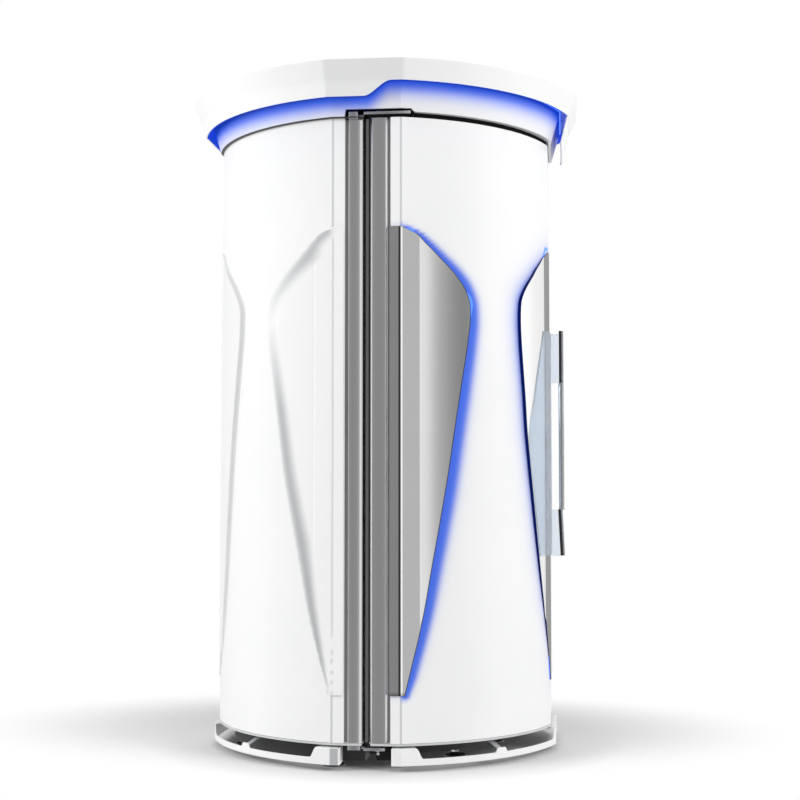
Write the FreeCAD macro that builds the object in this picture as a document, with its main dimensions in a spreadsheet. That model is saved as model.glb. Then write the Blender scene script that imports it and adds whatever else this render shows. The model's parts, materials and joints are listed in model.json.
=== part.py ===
import FreeCAD, Part
import math
import os

import Sketcher
from FreeCAD import Rotation, Vector

# Stand-up tanning booth: a fixed rear half with platform and crown, and a door half hung on two pins.
# Millimetres, +Z up, origin on the floor in the middle of the plan.
# -X is the hinge side, +X the catch side, -Y the door and +Y the rear.

doc = FreeCAD.newDocument("tanning_booth")
sheet = doc.addObject("Spreadsheet::Sheet", "sizes")
layout = doc.addObject("Spreadsheet::Sheet", "layout")
nodes = []

HINGE, CATCH = -1, 1
DOOR, REAR = -1, 1


# ---------------------------------------------------------------- sizes and expressions

class Size:
    """A size: its value now, and the expression that keeps it true in the document."""

    def __init__(self, value, text):
        self.value = value
        self.text = text

    def __add__(self, other):
        other = as_size(other)
        return Size(self.value + other.value, f"({self.text} + {other.text})")

    def __sub__(self, other):
        other = as_size(other)
        return Size(self.value - other.value, f"({self.text} - {other.text})")

    def __rsub__(self, other):
        return as_size(other) - self

    def __mul__(self, other):
        other = as_size(other)
        return Size(self.value * other.value, f"({self.text} * {other.text})")

    def __truediv__(self, other):
        other = as_size(other)
        return Size(self.value / other.value, f"({self.text} / {other.text})")

    def __neg__(self):
        return self * -1

    __radd__ = __add__
    __rmul__ = __mul__


def as_size(number):
    return number if isinstance(number, Size) else Size(number, repr(number))


def root(size):
    return Size(math.sqrt(size.value), f"sqrt({size.text})")


def cosine(angle):
    return Size(math.cos(math.radians(angle.value)), f"cos({angle.text})")


def sine(angle):
    return Size(math.sin(math.radians(angle.value)), f"sin({angle.text})")


def angle_of(across, along):
    """Angle in degrees whose cosine is across / along."""
    ratio = across / along
    return Size(math.degrees(math.acos(ratio.value)), f"(acos({ratio.text}) * 1 / (1 deg))")


def put(target, name, text):
    """Write one row of a sheet: the name beside its value, and the alias on the value."""
    row = target.getPropertyByName("rows_used") + 1
    target.rows_used = row
    target.set(f"A{row}", name)
    target.set(f"B{row}", text)
    target.setAlias(f"B{row}", name)


def size(name, value):
    """A driving dimension, as a plain number in the sheet."""
    put(sheet, name, str(value))
    return Size(value, f"sizes.{name}")


def derived(name, result):
    """A place worked out from the driving dimensions, kept as a formula."""
    put(layout, name, "=" + result.text)
    return Size(result.value, f"layout.{name}")


for each in (sheet, layout):
    each.addProperty("App::PropertyInteger", "rows_used", "Base", "rows written so far")

# Plan of the shell
half_length = size("half_length", 652)
half_depth = size("half_depth", 606)
side_facet = size("side_facet", 116)
end_facet = size("end_facet", 160)
quarter_radius = size("quarter_radius", 709)
seam = size("seam", 20)
fit_gap = size("fit_gap", 0.5)

# Heights
foot_top = size("foot_top", 24)
plinth_bottom = size("plinth_bottom", 20)
plinth_top = size("plinth_top", 76)
shell_bottom = size("shell_bottom", 90)
shell_top = size("shell_top", 2177)
crown_gap = size("crown_gap", 15)
crown_height = size("crown_height", 173)
fascia_door_rise = size("fascia_door_rise", 108)
fascia_rear_rise = size("fascia_rear_rise", 63)
fascia_visor_rise = size("fascia_visor_rise", 1)

# Sheets and plates
wing_wall = size("wing_wall", 2.5)
led_gap = size("led_gap", 2)
shell_wall = size("shell_wall", 3)
plate_wall = size("plate_wall", 3)
reflector_inset = size("reflector_inset", 118)
reflector_wall = size("reflector_wall", 1.5)
lamp_inset = size("lamp_inset", 150)
guard_inset = size("guard_inset", 180)
guard_wall = size("guard_wall", 4)

# Aluminium uprights beside the seam
upright_face = size("upright_face", 52)
upright_depth = size("upright_depth", 70)
upright_wall = size("upright_wall", 3)
upright_recess = size("upright_recess", 3)
bevel_depth = size("bevel_depth", 5)
door_bevel = size("door_bevel", 6)
rear_seam_bevel = size("rear_seam_bevel", 12)
rear_slot_bevel = size("rear_slot_bevel", 2)
cheek_start = size("cheek_start", 75)
gasket_wall = size("gasket_wall", 4)
gasket_recess = size("gasket_recess", 18)
seal_depth = size("seal_depth", 12)

# Wings
wing_radius = size("wing_radius", 1040)
wing_bottom = size("wing_bottom", 243)
wing_peak = size("wing_peak", 1568)
wing_top = size("wing_top", 1806)
wing_shoulder = size("wing_shoulder", 38)
wing_foot = size("wing_foot", 16)
wing_side_reach = size("wing_side_reach", 243)
wing_rear_reach = size("wing_rear_reach", 243)
wing_front_reach = size("wing_front_reach", 186)
wing_round = size("wing_round", 60)
led_wall = size("led_wall", 1.2)
led_width = size("led_width", 10)
led_inset = size("led_inset", 6)
spacer_width = size("spacer_width", 40)
spacer_place = size("spacer_place", 110)

# Plinth
plinth_outset = size("plinth_outset", 14)
plinth_wall = size("plinth_wall", 4)
plinth_lip = size("plinth_lip", 60)
window_bottom = size("window_bottom", 42)
window_depth = size("window_depth", 54)
window_start = size("window_start", 178)
window_rib = size("window_rib", 440)
rib_width = size("rib_width", 26)
window_end = size("window_end", 190)

# Lamps
lamp_radius = size("lamp_radius", 19)
lamp_wall = size("lamp_wall", 1)
socket_radius = size("socket_radius", 21)
socket_height = size("socket_height", 30)
lamp_side_place = size("lamp_side_place", 40)
lamp_end_pitch = size("lamp_end_pitch", 53)
LAMPS_IN_QUARTER = 11

# Platform, frame and feet
platform_inset = size("platform_inset", 198)
platform_bottom = size("platform_bottom", 64)
platform_top = size("platform_top", 92)
tray_wall = size("tray_wall", 4)
mat_margin = size("mat_margin", 30)
mat_wall = size("mat_wall", 5)
beam_width = size("beam_width", 40)
base_wall = size("base_wall", 4)
pad_radius = size("pad_radius", 40)
pad_height = size("pad_height", 12)
foot_screw = size("foot_screw", 8)
foot_inset = size("foot_inset", 105)
foot_side_place = size("foot_side_place", 122)
foot_front_angle = size("foot_front_angle", 45)

# Crown
neck_outset = size("neck_outset", 6)
neck_flare = size("neck_flare", 38)
neck_flare_rise = size("neck_flare_rise", 113)
neck_wall = size("neck_wall", 3)
fascia_low_outset = size("fascia_low_outset", 48)
fascia_mid_outset = size("fascia_mid_outset", 72)
fascia_mid_rise = size("fascia_mid_rise", 105)
fascia_top_outset = size("fascia_top_outset", 104)
fascia_wall = size("fascia_wall", 4)
fascia_step = size("fascia_step", 80)
roof_wall = size("roof_wall", 4)
visor_half = size("visor_half", 178)
strip_rise = size("strip_rise", 14)
strip_height = size("strip_height", 14)
strip_wall = size("strip_wall", 6)
ceiling_rise = size("ceiling_rise", 17)
ceiling_wall = size("ceiling_wall", 3)
recess_front = size("recess_front", 160)
recess_rear = size("recess_rear", 77)
recess_depth = size("recess_depth", 80)
recess_rise = size("recess_rise", 26)

# Fan and exhaust
fan_bore = size("fan_bore", 145)
fan_frame = size("fan_frame", 340)
blade_gap = size("blade_gap", 8)
hub_radius = size("hub_radius", 55)
hub_height = size("hub_height", 40)
blade_thickness = size("blade_thickness", 3)
blade_chord = size("blade_chord", 60)
blade_pitch = size("blade_pitch", 28)
motor_radius = size("motor_radius", 48)
motor_height = size("motor_height", 44)
shaft_radius = size("shaft_radius", 5)
running_gap = size("running_gap", 0.05)
strut_width = size("strut_width", 14)
spigot_radius = size("spigot_radius", 100)
spigot_wall = size("spigot_wall", 2)
spigot_height = size("spigot_height", 60)
spigot_flange = size("spigot_flange", 125)
grille_pitch = size("grille_pitch", 18)
grille_bar = size("grille_bar", 6)
FAN_BLADES = 7
GRILLE_RINGS = 6

# Hinge
hinge_forward = size("hinge_forward", 38)
hinge_inset = size("hinge_inset", 22)
pin_radius = size("pin_radius", 8)
pin_grip = size("pin_grip", 36)
pin_head_radius = size("pin_head_radius", 13)
pin_head_height = size("pin_head_height", 8)
bracket_wall = size("bracket_wall", 10)
bracket_drop = size("bracket_drop", 14)
bracket_depth = size("bracket_depth", 56)
bracket_front_top = size("bracket_front_top", 149)
bracket_front_low = size("bracket_front_low", 62)
bush_height = size("bush_height", 42)
washer_radius = size("washer_radius", 15)
hinge_clear = size("hinge_clear", 1)
stop_inset = size("stop_inset", 67)
stop_depth = size("stop_depth", 40)
stop_near = size("stop_near", 25)
stop_width = size("stop_width", 75)

# Handle on the door front
handle_top = size("handle_top", 1500)
handle_bottom = size("handle_bottom", 682)
grip_top = size("grip_top", 1320)
grip_bottom = size("grip_bottom", 852)
handle_shoulder = size("handle_shoulder", 75)
handle_reach = size("handle_reach", 120)
handle_foot = size("handle_foot", 50)
handle_widest = size("handle_widest", 1290)
handle_wall = size("handle_wall", 3)
block_depth = size("block_depth", 22)
block_width = size("block_width", 70)
bar_width = size("bar_width", 30)
bar_thick = size("bar_thick", 20)
bar_wall = size("bar_wall", 2.5)
blade_wall = size("blade_wall", 6)
blade_rise = size("blade_rise", 14)

# Inside: control panel, buttons, rail, ballasts
panel_thick = size("panel_thick", 22)
panel_start = size("panel_start", 16)
panel_width = size("panel_width", 66)
panel_bottom = size("panel_bottom", 1180)
panel_height = size("panel_height", 240)
button_radius = size("button_radius", 10)
button_length = size("button_length", 11)
button_proud = size("button_proud", 3)
button_travel = size("button_travel", 1.5)
button_gap = size("button_gap", 0.3)
button_pitch = size("button_pitch", 60)
rail_radius = size("rail_radius", 12)
rail_half = size("rail_half", 170)
rail_drop = size("rail_drop", 110)
rail_place = size("rail_place", 230)
rail_flange = size("rail_flange", 26)
rail_flange_wall = size("rail_flange_wall", 5)
ballast_length = size("ballast_length", 420)
ballast_width = size("ballast_width", 62)
ballast_thick = size("ballast_thick", 70)
ballast_pitch = size("ballast_pitch", 74)
ballast_bottom = size("ballast_bottom", 240)
gland_radius = size("gland_radius", 14)
gland_bore = size("gland_bore", 7)
gland_length = size("gland_length", 34)
gland_height = size("gland_height", 170)
magnet_width = size("magnet_width", 30)
magnet_length = size("magnet_length", 90)
magnet_thick = size("magnet_thick", 8)
magnet_inset = size("magnet_inset", 95)
magnet_gap = size("magnet_gap", 1.5)
MAGNET_HEIGHTS = (500, 1750)
BALLAST_ROWS = 2
BALLASTS_IN_ROW = 4

doc.recompute()

# The quarter panels are arcs that join the corner of a side facet to the corner of an end facet.
chord_x = half_length - end_facet
chord_y = half_depth - side_facet
chord = derived("chord", root(chord_x * chord_x + chord_y * chord_y))
rise = derived("rise", root(quarter_radius * quarter_radius - chord * chord / 4))
centre_x = derived("centre_x", (half_length + end_facet) / 2 - rise * chord_y / chord)
centre_y = derived("centre_y", (half_depth + side_facet) / 2 - rise * chord_x / chord)

# The crown's heights follow the shell's top.
crown_top = derived("crown_top", shell_top + crown_height)
fascia_door = derived("fascia_door", shell_top + fascia_door_rise)
fascia_rear = derived("fascia_rear", shell_top + fascia_rear_rise)
fascia_visor = derived("fascia_visor", shell_top + fascia_visor_rise)
fascia_mid = derived("fascia_mid", shell_top + fascia_mid_rise)
neck_flare_height = derived("neck_flare_height", shell_top + neck_flare_rise)

# A wing's arc touches the shell's arc at the corner where the wing starts, and is flatter.
flatter = wing_radius / quarter_radius
side_wing_x = derived("side_wing_x", half_length + (centre_x - half_length) * flatter)
side_wing_y = derived("side_wing_y", side_facet + (centre_y - side_facet) * flatter)
end_wing_x = derived("end_wing_x", end_facet + (centre_x - end_facet) * flatter)
end_wing_y = derived("end_wing_y", half_depth + (centre_y - half_depth) * flatter)

seam_half = derived("seam_half", seam / 2)
shell_inset = derived("shell_inset", wing_wall + led_gap)
plate_inset = derived("plate_inset", shell_inset + shell_wall)
ring_inner = derived("ring_inner", guard_inset + guard_wall)
upright_end = derived("upright_end", seam_half + upright_face)
upright_outer = derived("upright_outer", half_length - upright_recess)
upright_inner = derived("upright_inner", upright_outer - upright_depth)
hinge_x = derived("hinge_x", hinge_inset - half_length)
hinge_y = derived("hinge_y", -hinge_forward)
neck_bottom = derived("neck_bottom", shell_top + plate_wall)
inner_bottom = derived("inner_bottom", shell_bottom + plate_wall)
inner_height = derived("inner_height", shell_top - shell_bottom - plate_wall * 2)
shell_height = derived("shell_height", shell_top - shell_bottom)
bracket_low = derived("bracket_low", shell_bottom - bracket_drop - bracket_wall)
bracket_high = derived("bracket_high", shell_top + bracket_drop - plate_wall)
doc.recompute()


# ---------------------------------------------------------------- building helpers

def bind(thing, **sizes):
    """Bind properties to expressions: bind(box, Length=size)."""
    for name, value in sizes.items():
        thing.setExpression(name, as_size(value).text)


def move(thing, x=0, y=0, z=0, turn=None):
    """Place a thing, with its position bound to expressions."""
    x, y, z = as_size(x), as_size(y), as_size(z)
    thing.Placement = FreeCAD.Placement(Vector(x.value, y.value, z.value), turn or Rotation())
    for axis, value in (("x", x), ("y", y), ("z", z)):
        thing.setExpression(f"Placement.Base.{axis}", value.text)
    return thing


def node(thing):
    """Mark a thing as one sub-part, exported under its label."""
    nodes.append(thing)
    return thing


def block(label, x, y, z, length, width, height):
    """A box with its lowest corner at x, y, z."""
    box = doc.addObject("Part::Box", label)
    bind(box, Length=length, Width=width, Height=height)
    return move(box, x, y, z)


def side_block(label, side, half, outer, inner, near, far, z, height):
    """A box between two distances from the middle in X (outer, inner) and in Y (near, far)."""
    x = inner if side == CATCH else -outer
    y = near if half == REAR else -far
    return block(label, x, y, z, outer - inner, far - near, height)


def rod(label, x, y, z, radius, height, turn=None):
    cylinder = doc.addObject("Part::Cylinder", label)
    bind(cylinder, Radius=radius, Height=height)
    return move(cylinder, x, y, z, turn)


def join(label, pieces, kind="Part::MultiFuse"):
    result = doc.addObject(kind, label)
    if kind == "Part::Compound":
        result.Links = pieces
    else:
        result.Shapes = pieces
    return result


def bench(label, pieces):
    """Several like pieces kept as separate solids of one sub-part."""
    return join(label, pieces, "Part::Compound")


def cut(label, base, tools):
    result = doc.addObject("Part::Cut", label)
    result.Base = base
    result.Tool = tools[0] if len(tools) == 1 else join(label + "_tools", tools)
    return result


def common(label, base, tool):
    result = doc.addObject("Part::Common", label)
    result.Base = base
    result.Tool = tool
    return result


class Line:
    """A straight edge of an outline: the line where one coordinate keeps one value."""

    def __init__(self, axis, at):
        self.axis = axis
        self.at = as_size(at)


class Curve:
    """A round edge of an outline, on the (side, half) quarter of a circle."""

    def __init__(self, side, half, x, y, radius):
        self.side = side
        self.half = half
        self.x = x * side
        self.y = y * half
        self.radius = radius


def meet(first, second):
    """The point where two neighbouring edges meet."""
    if isinstance(first, Curve):
        first, second = second, first
    if isinstance(second, Line):
        values = {first.axis: first.at.value, second.axis: second.at.value}
        return Vector(values["x"], values["y"], 0)
    radius = second.radius.value
    if first.axis == "x":
        across = first.at.value - second.x.value
        along = math.sqrt(radius ** 2 - across ** 2)
        return Vector(first.at.value, second.y.value + second.half * along, 0)
    along = first.at.value - second.y.value
    across = math.sqrt(radius ** 2 - along ** 2)
    return Vector(second.x.value + second.side * across, first.at.value, 0)


def hold(sketch, kind, geometry, point, value):
    """Fix one coordinate of a sketch point, bound to its expression."""
    rule = Sketcher.Constraint(kind, -1, 1, geometry, point, value.value)
    sketch.setExpression(f"Constraints[{sketch.addConstraint(rule)}]", value.text)


def hold_radius(sketch, geometry, radius):
    rule = Sketcher.Constraint("Radius", geometry, radius.value)
    sketch.setExpression(f"Constraints[{sketch.addConstraint(rule)}]", radius.text)


def new_sketch(body, plane, height=None):
    sketch = body.newObject("Sketcher::SketchObject", body.Name + "_sketch")
    origin = [face for face in body.Origin.OriginFeatures if face.Role == plane]
    sketch.AttachmentSupport = [(origin[0], "")]
    sketch.MapMode = "FlatFace"
    if height is not None:
        sketch.setExpression("AttachmentOffset.Base.z", height.text)
    return sketch


def draw(sketch, edges):
    """Draw one closed outline from edges that are given in order."""
    corners = [meet(edge, after) for edge, after in zip(edges, edges[1:] + edges[:1])]
    ends = []
    for number, edge in enumerate(edges):
        start, stop = corners[number - 1], corners[number]
        if isinstance(edge, Line):
            line = sketch.addGeometry(Part.LineSegment(start, stop))
            ends.append((line, 1, 2))
            sketch.addConstraint(Sketcher.Constraint("Vertical" if edge.axis == "x" else "Horizontal", line))
            hold(sketch, "DistanceX" if edge.axis == "x" else "DistanceY", line, 1, edge.at)
            continue
        middle = Vector(edge.x.value, edge.y.value, 0)
        turns_left = (start - middle).cross(stop - middle).z > 0
        first, last = (start, stop) if turns_left else (stop, start)
        angles = [math.atan2(point.y - middle.y, point.x - middle.x) for point in (first, last)]
        circle = Part.Circle(middle, Vector(0, 0, 1), edge.radius.value)
        arc = sketch.addGeometry(Part.ArcOfCircle(circle, *angles))
        ends.append((arc, 1, 2) if turns_left else (arc, 2, 1))
        hold(sketch, "DistanceX", arc, 3, edge.x)
        hold(sketch, "DistanceY", arc, 3, edge.y)
        hold_radius(sketch, arc, edge.radius)
    for (piece, _, stop), (after, start, _) in zip(ends, ends[1:] + ends[:1]):
        sketch.addConstraint(Sketcher.Constraint("Coincident", piece, stop, after, start))
    return sketch


def draw_points(sketch, points):
    """Draw one closed outline of straight lines through points."""
    places = [Vector(x.value, y.value, 0) for x, y in points]
    lines = [sketch.addGeometry(Part.LineSegment(here, there))
             for here, there in zip(places, places[1:] + places[:1])]
    for line, after in zip(lines, lines[1:] + lines[:1]):
        sketch.addConstraint(Sketcher.Constraint("Coincident", line, 2, after, 1))
    for line, (x, y) in zip(lines, points):
        hold(sketch, "DistanceX", line, 1, x)
        hold(sketch, "DistanceY", line, 1, y)
    return sketch


def draw_circle(sketch, x, y, radius):
    x, y = as_size(x), as_size(y)
    circle = sketch.addGeometry(Part.Circle(Vector(x.value, y.value, 0), Vector(0, 0, 1), radius.value))
    hold(sketch, "DistanceX", circle, 3, x)
    hold(sketch, "DistanceY", circle, 3, y)
    hold_radius(sketch, circle, radius)


def new_body(label):
    body = doc.addObject("PartDesign::Body", label)
    body.AllowCompound = True
    return body


def pad(body, sketch, length, reverse=False):
    feature = body.newObject("PartDesign::Pad", body.Name + "_pad")
    feature.Profile = sketch
    feature.Reversed = reverse
    bind(feature, Length=length)
    body.Tip = feature
    return feature


def slab(label, outlines, bottom, height):
    """A body padded up from closed outlines in the plan; later outlines are holes."""
    body = new_body(label)
    sketch = new_sketch(body, "XY_Plane")
    for edges in outlines:
        draw(sketch, edges)
    pad(body, sketch, height)
    return move(body, z=bottom)


def rods(label, places, radius, bottom, height, bore=None):
    """Like round pieces standing at several places in the plan, solid or tubular."""
    body = new_body(label)
    sketch = new_sketch(body, "XY_Plane")
    for x, y in places:
        draw_circle(sketch, x, y, radius)
        if bore is not None:
            draw_circle(sketch, x, y, bore)
    pad(body, sketch, height)
    return move(body, z=bottom)


# ---------------------------------------------------------------- plan outlines

def quarter(side, half, inset):
    return Curve(side, half, centre_x, centre_y, quarter_radius - inset)


def side_line(side, inset):
    return Line("x", (half_length - inset) * side)


def end_line(half, inset):
    return Line("y", (half_depth - inset) * half)


def oval(inset):
    """The whole plan outline at one inset from the shell's nominal surface."""
    return [side_line(HINGE, inset), quarter(HINGE, DOOR, inset),
            end_line(DOOR, inset), quarter(CATCH, DOOR, inset),
            side_line(CATCH, inset), quarter(CATCH, REAR, inset),
            end_line(REAR, inset), quarter(HINGE, REAR, inset)]


def half_ring(half, outer, inner, start):
    """One half of the ring between two insets, ending at a distance from the seam's middle."""
    stop = Line("y", start * half)
    return [stop,
            side_line(HINGE, outer), quarter(HINGE, half, outer), end_line(half, outer),
            quarter(CATCH, half, outer), side_line(CATCH, outer),
            stop,
            side_line(CATCH, inner), quarter(CATCH, half, inner), end_line(half, inner),
            quarter(HINGE, half, inner), side_line(HINGE, inner)]


def quarter_ring(side, half, outer, inner, start, stop):
    """A quarter of the ring with its return on the side facet, ending on the quarter's arc."""
    return [Line("y", start * half),
            side_line(side, outer), quarter(side, half, outer),
            Line("x", stop * side),
            quarter(side, half, inner), side_line(side, inner)]


def quarter_ring_to_middle(side, half, outer, inner, start, stop):
    """A quarter of the ring that goes on over the end facet, close to its middle."""
    return [Line("y", start * half),
            side_line(side, outer), quarter(side, half, outer), end_line(half, outer),
            Line("x", stop * side),
            end_line(half, inner), quarter(side, half, inner), side_line(side, inner)]


# ---------------------------------------------------------------- both halves

def side_name(side):
    return "hinge_side" if side == HINGE else "catch_side"


def half_name(half):
    return "door" if half == DOOR else "rear"


def make_plates(half):
    """End plates of a half: the door's are drilled for the hinge pins, the rear's carry the crown."""
    name = half_name(half)
    plates = []
    for end, bottom in (("bottom", shell_bottom), ("top", shell_top - plate_wall)):
        ring = half_ring(half, plate_inset, ring_inner, seam_half)
        plate = slab(f"{name}_{end}_plate", [ring], bottom, plate_wall)
        if half == DOOR:
            hole = rod(f"{end}_plate_hole", hinge_x, hinge_y, bottom - hinge_clear,
                       pin_radius + hinge_clear, plate_wall + hinge_clear * 2)
            plate = cut(f"{end}_plate_drilled", plate, [hole])
        plates.append(plate)
    if half == REAR:
        ring = half_ring(REAR, -neck_outset, lamp_inset, seam_half)
        plates.append(slab("crown_base_plate", [ring], shell_top, plate_wall))
    node(bench(f"{name}_plates", plates))


def upright(side, half):
    """A hollow aluminium profile beside the seam, bevelled on its outer edges."""
    near, far = seam_half, upright_end
    seam_bevel, slot_bevel = (door_bevel, door_bevel) if half == DOOR else (rear_seam_bevel, rear_slot_bevel)
    body = new_body(f"{half_name(half)}_upright_{side_name(side)}")
    sketch = new_sketch(body, "XY_Plane")
    outside = [(upright_inner, near), (upright_outer - bevel_depth, near),
               (upright_outer, near + seam_bevel), (upright_outer, far - slot_bevel),
               (upright_outer - bevel_depth, far), (upright_inner, far)]
    wall = upright_wall
    inside = [(upright_inner + wall, near + wall), (upright_outer - wall * 2, near + wall),
              (upright_outer - wall * 2, far - wall), (upright_inner + wall, far - wall)]
    for points in (outside, inside):
        draw_points(sketch, [(x * side, y * half) for x, y in points])
    pad(body, sketch, inner_height)
    return move(body, z=inner_bottom)


def make_uprights(half):
    node(bench(f"{half_name(half)}_uprights", [upright(side, half) for side in (HINGE, CATCH)]))


def make_shells(half):
    """White skins: two quarter skins with a return on the side facet, and the end facet's skin."""
    inner = shell_inset + shell_wall
    for side in (HINGE, CATCH):
        edges = quarter_ring(side, half, shell_inset, inner, cheek_start, end_facet + fit_gap)
        node(slab(f"{half_name(half)}_shell_{side_name(side)}", [edges], shell_bottom, shell_height))
    stop = end_facet - fit_gap
    edges = [Line("x", -stop), end_line(half, shell_inset), Line("x", stop), end_line(half, inner)]
    end = "front" if half == DOOR else "back"
    node(slab(f"{half_name(half)}_shell_{end}", [edges], shell_bottom, shell_height))


def wing_points(start, reach, margin=0):
    """Outline of a wing from its corner outwards, drawn a margin inside the real edge."""
    return [(start, wing_top - margin),
            (start + wing_shoulder - margin / 2, wing_top - margin),
            (start + reach - margin, wing_peak),
            (start + wing_foot - margin / 2, wing_bottom + margin),
            (start, wing_bottom + margin)]


def wing_prism(label, plane, start, length, points, rounded):
    """A prism across the booth with a wing's outline, rounded at its widest corners."""
    body = new_body(label)
    sketch = new_sketch(body, plane)
    draw_points(sketch, points)
    feature = pad(body, sketch, length, reverse=(plane == "XZ_Plane"))
    doc.recompute()
    across, along = ("y", "x") if plane == "YZ_Plane" else ("x", "y")
    names = []
    for number, edge in enumerate(feature.Shape.Edges, 1):
        first, last = edge.Vertexes[0].Point, edge.Vertexes[-1].Point
        runs_along = abs(getattr(first, along) - getattr(last, along)) > length.value / 2
        if runs_along and any(abs(getattr(first, across) - points[corner][0].value) < 0.01
                              and abs(first.z - points[corner][1].value) < 0.01 for corner in rounded):
            names.append(f"Edge{number}")
    fillet = body.newObject("PartDesign::Fillet", label + "_round")
    fillet.Base = (feature, names)
    bind(fillet, Radius=wing_round)
    body.Tip = fillet
    return move(body, **{along: start})


def side_prism(label, side, half, points):
    """A wing prism that reaches from inside the ring to past one side facet."""
    start = -half_length - wing_round if side == HINGE else end_facet
    return wing_prism(label, "YZ_Plane", start, half_length - end_facet + wing_round,
                      [(y * half, z) for y, z in points], [2])


def end_prism(label, half, points):
    """A symmetric wing prism through one end facet."""
    mirrored = points + [(-x, z) for x, z in reversed(points)]
    start = -half_depth - end_facet if half == DOOR else half_depth - end_facet
    return wing_prism(label, "XZ_Plane", start, end_facet * 2, mirrored, [1, 4])


def side_wing(side, half):
    """A wing sheet over the side facet's edge and part of the quarter, folded in at the slot."""
    name = f"{half_name(half)}_wing_{side_name(side)}"
    edges = [Line("y", (cheek_start - wing_wall) * half), Line("x", half_length * side),
             Curve(side, half, side_wing_x, side_wing_y, wing_radius),
             Line("y", (side_facet + wing_side_reach + wing_round) * half),
             Curve(side, half, side_wing_x, side_wing_y, wing_radius - wing_wall),
             Line("x", (half_length - wing_wall) * side),
             Line("y", cheek_start * half), Line("x", (half_length - plate_inset) * side)]
    skin = slab(name + "_skin", [edges], wing_bottom - wing_round, wing_top - wing_bottom + wing_round * 2)
    points = wing_points(side_facet, wing_side_reach)
    points[0] = (cheek_start - wing_round, wing_top)
    points[-1] = (cheek_start - wing_round, wing_bottom)
    return common(name, skin, side_prism(name + "_prism", side, half, points))


def make_side_wings(half):
    node(bench(f"{half_name(half)}_side_wings", [side_wing(side, half) for side in (HINGE, CATCH)]))


def end_wing_edges(half, reach, outer, inner):
    """Plan of a sheet over an end facet and both quarters beside it."""
    across = end_facet + reach + wing_round

    def curve(side, inset):
        return Curve(side, half, end_wing_x, end_wing_y, wing_radius - inset)

    return [Line("x", -across), curve(HINGE, outer), end_line(half, outer), curve(CATCH, outer),
            Line("x", across), curve(CATCH, inner), end_line(half, inner), curve(HINGE, inner)]


def make_end_wing(half, reach):
    """The wing over the end facet, both of its sides in one sheet, on two spacer strips."""
    name = f"{half_name(half)}_wing_{'front' if half == DOOR else 'back'}"
    skin = slab(name + "_skin", [end_wing_edges(half, reach, as_size(0), wing_wall)],
                wing_bottom - wing_round, wing_top - wing_bottom + wing_round * 2)
    prism = end_prism(name + "_prism", half, wing_points(end_facet, reach)[1:-1])
    near = half_depth - shell_inset if half == REAR else wing_wall - half_depth
    spacers = [block(f"{name}_spacer_{side_name(side)}", spacer_place * side - spacer_width / 2, near,
                     wing_bottom, spacer_width, led_gap, wing_top - wing_bottom) for side in (HINGE, CATCH)]
    node(join(name, [common(name + "_sheet", skin, prism)] + spacers))


def lamp_places(half):
    """Lamp axes: along both quarter arcs, beside the seam and across the end facet."""
    radius = quarter_radius - lamp_inset
    first = derived(f"{half_name(half)}_lamp_first", angle_of(half_length - lamp_inset - centre_x, radius))
    last = derived(f"{half_name(half)}_lamp_last", 90 - angle_of(half_depth - lamp_inset - centre_y, radius))
    step = (last - first) / (LAMPS_IN_QUARTER - 1)
    places = []
    for side in (HINGE, CATCH):
        places.append(((half_length - lamp_inset) * side, lamp_side_place * half))
        for number in range(LAMPS_IN_QUARTER):
            angle = first + step * number
            places.append(((centre_x + radius * cosine(angle)) * side,
                           (centre_y + radius * sine(angle)) * half))
        for pitches in (0.5, 1.5):
            places.append((lamp_end_pitch * pitches * side, (half_depth - lamp_inset) * half))
    return places


def make_lamps(half):
    """UV lamps between sockets, a bent reflector behind them and clear guards before them."""
    name = half_name(half)
    places = lamp_places(half)
    doc.recompute()
    low = inner_bottom
    high_sockets = inner_bottom + inner_height - socket_height
    node(rods(f"{name}_lamps", places, lamp_radius, low + socket_height,
              inner_height - socket_height * 2, lamp_radius - lamp_wall))
    sockets = [rods(f"{name}_sockets_low", places, socket_radius, low, socket_height),
               rods(f"{name}_sockets_high", places, socket_radius, high_sockets, socket_height)]
    node(bench(f"{name}_lamp_sockets", sockets))
    node(slab(f"{name}_reflector",
              [half_ring(half, reflector_inset, reflector_inset + reflector_wall, upright_end)],
              low, inner_height))
    guards = []
    for side in (HINGE, CATCH):
        edges = quarter_ring_to_middle(side, half, guard_inset, ring_inner, seam_half, fit_gap)
        guards.append(slab(f"{name}_guard_{side_name(side)}", [edges], low, inner_height))
    node(bench(f"{name}_guards", guards))


def make_end_panels(half):
    """Sheets that close the ring beside the seam, behind the uprights."""
    pieces = [side_block(f"{half_name(half)}_end_panel_{side_name(side)}", side, half,
                         upright_inner, half_length - guard_inset,
                         seam_half, seam_half + reflector_wall,
                         inner_bottom, inner_height)
              for side in (HINGE, CATCH)]
    node(bench(f"{half_name(half)}_end_panels", pieces))


def make_seals(half):
    """Dark strips in the slots between uprights and skins, and the seam's seals on the rear half."""
    outer = half_length - gasket_recess
    pieces = [side_block(f"{half_name(half)}_gasket_{side_name(side)}", side, half,
                         outer, outer - gasket_wall, upright_end, cheek_start + shell_wall,
                         inner_bottom, inner_height)
              for side in (HINGE, CATCH)]
    if half == REAR:
        pieces += [side_block(f"seam_seal_{side_name(side)}", side, REAR, upright_inner + seal_depth,
                              upright_inner, fit_gap - seam_half, seam_half, inner_bottom, inner_height)
                   for side in (HINGE, CATCH)]
    node(bench(f"{half_name(half)}_seals", pieces))


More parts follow.
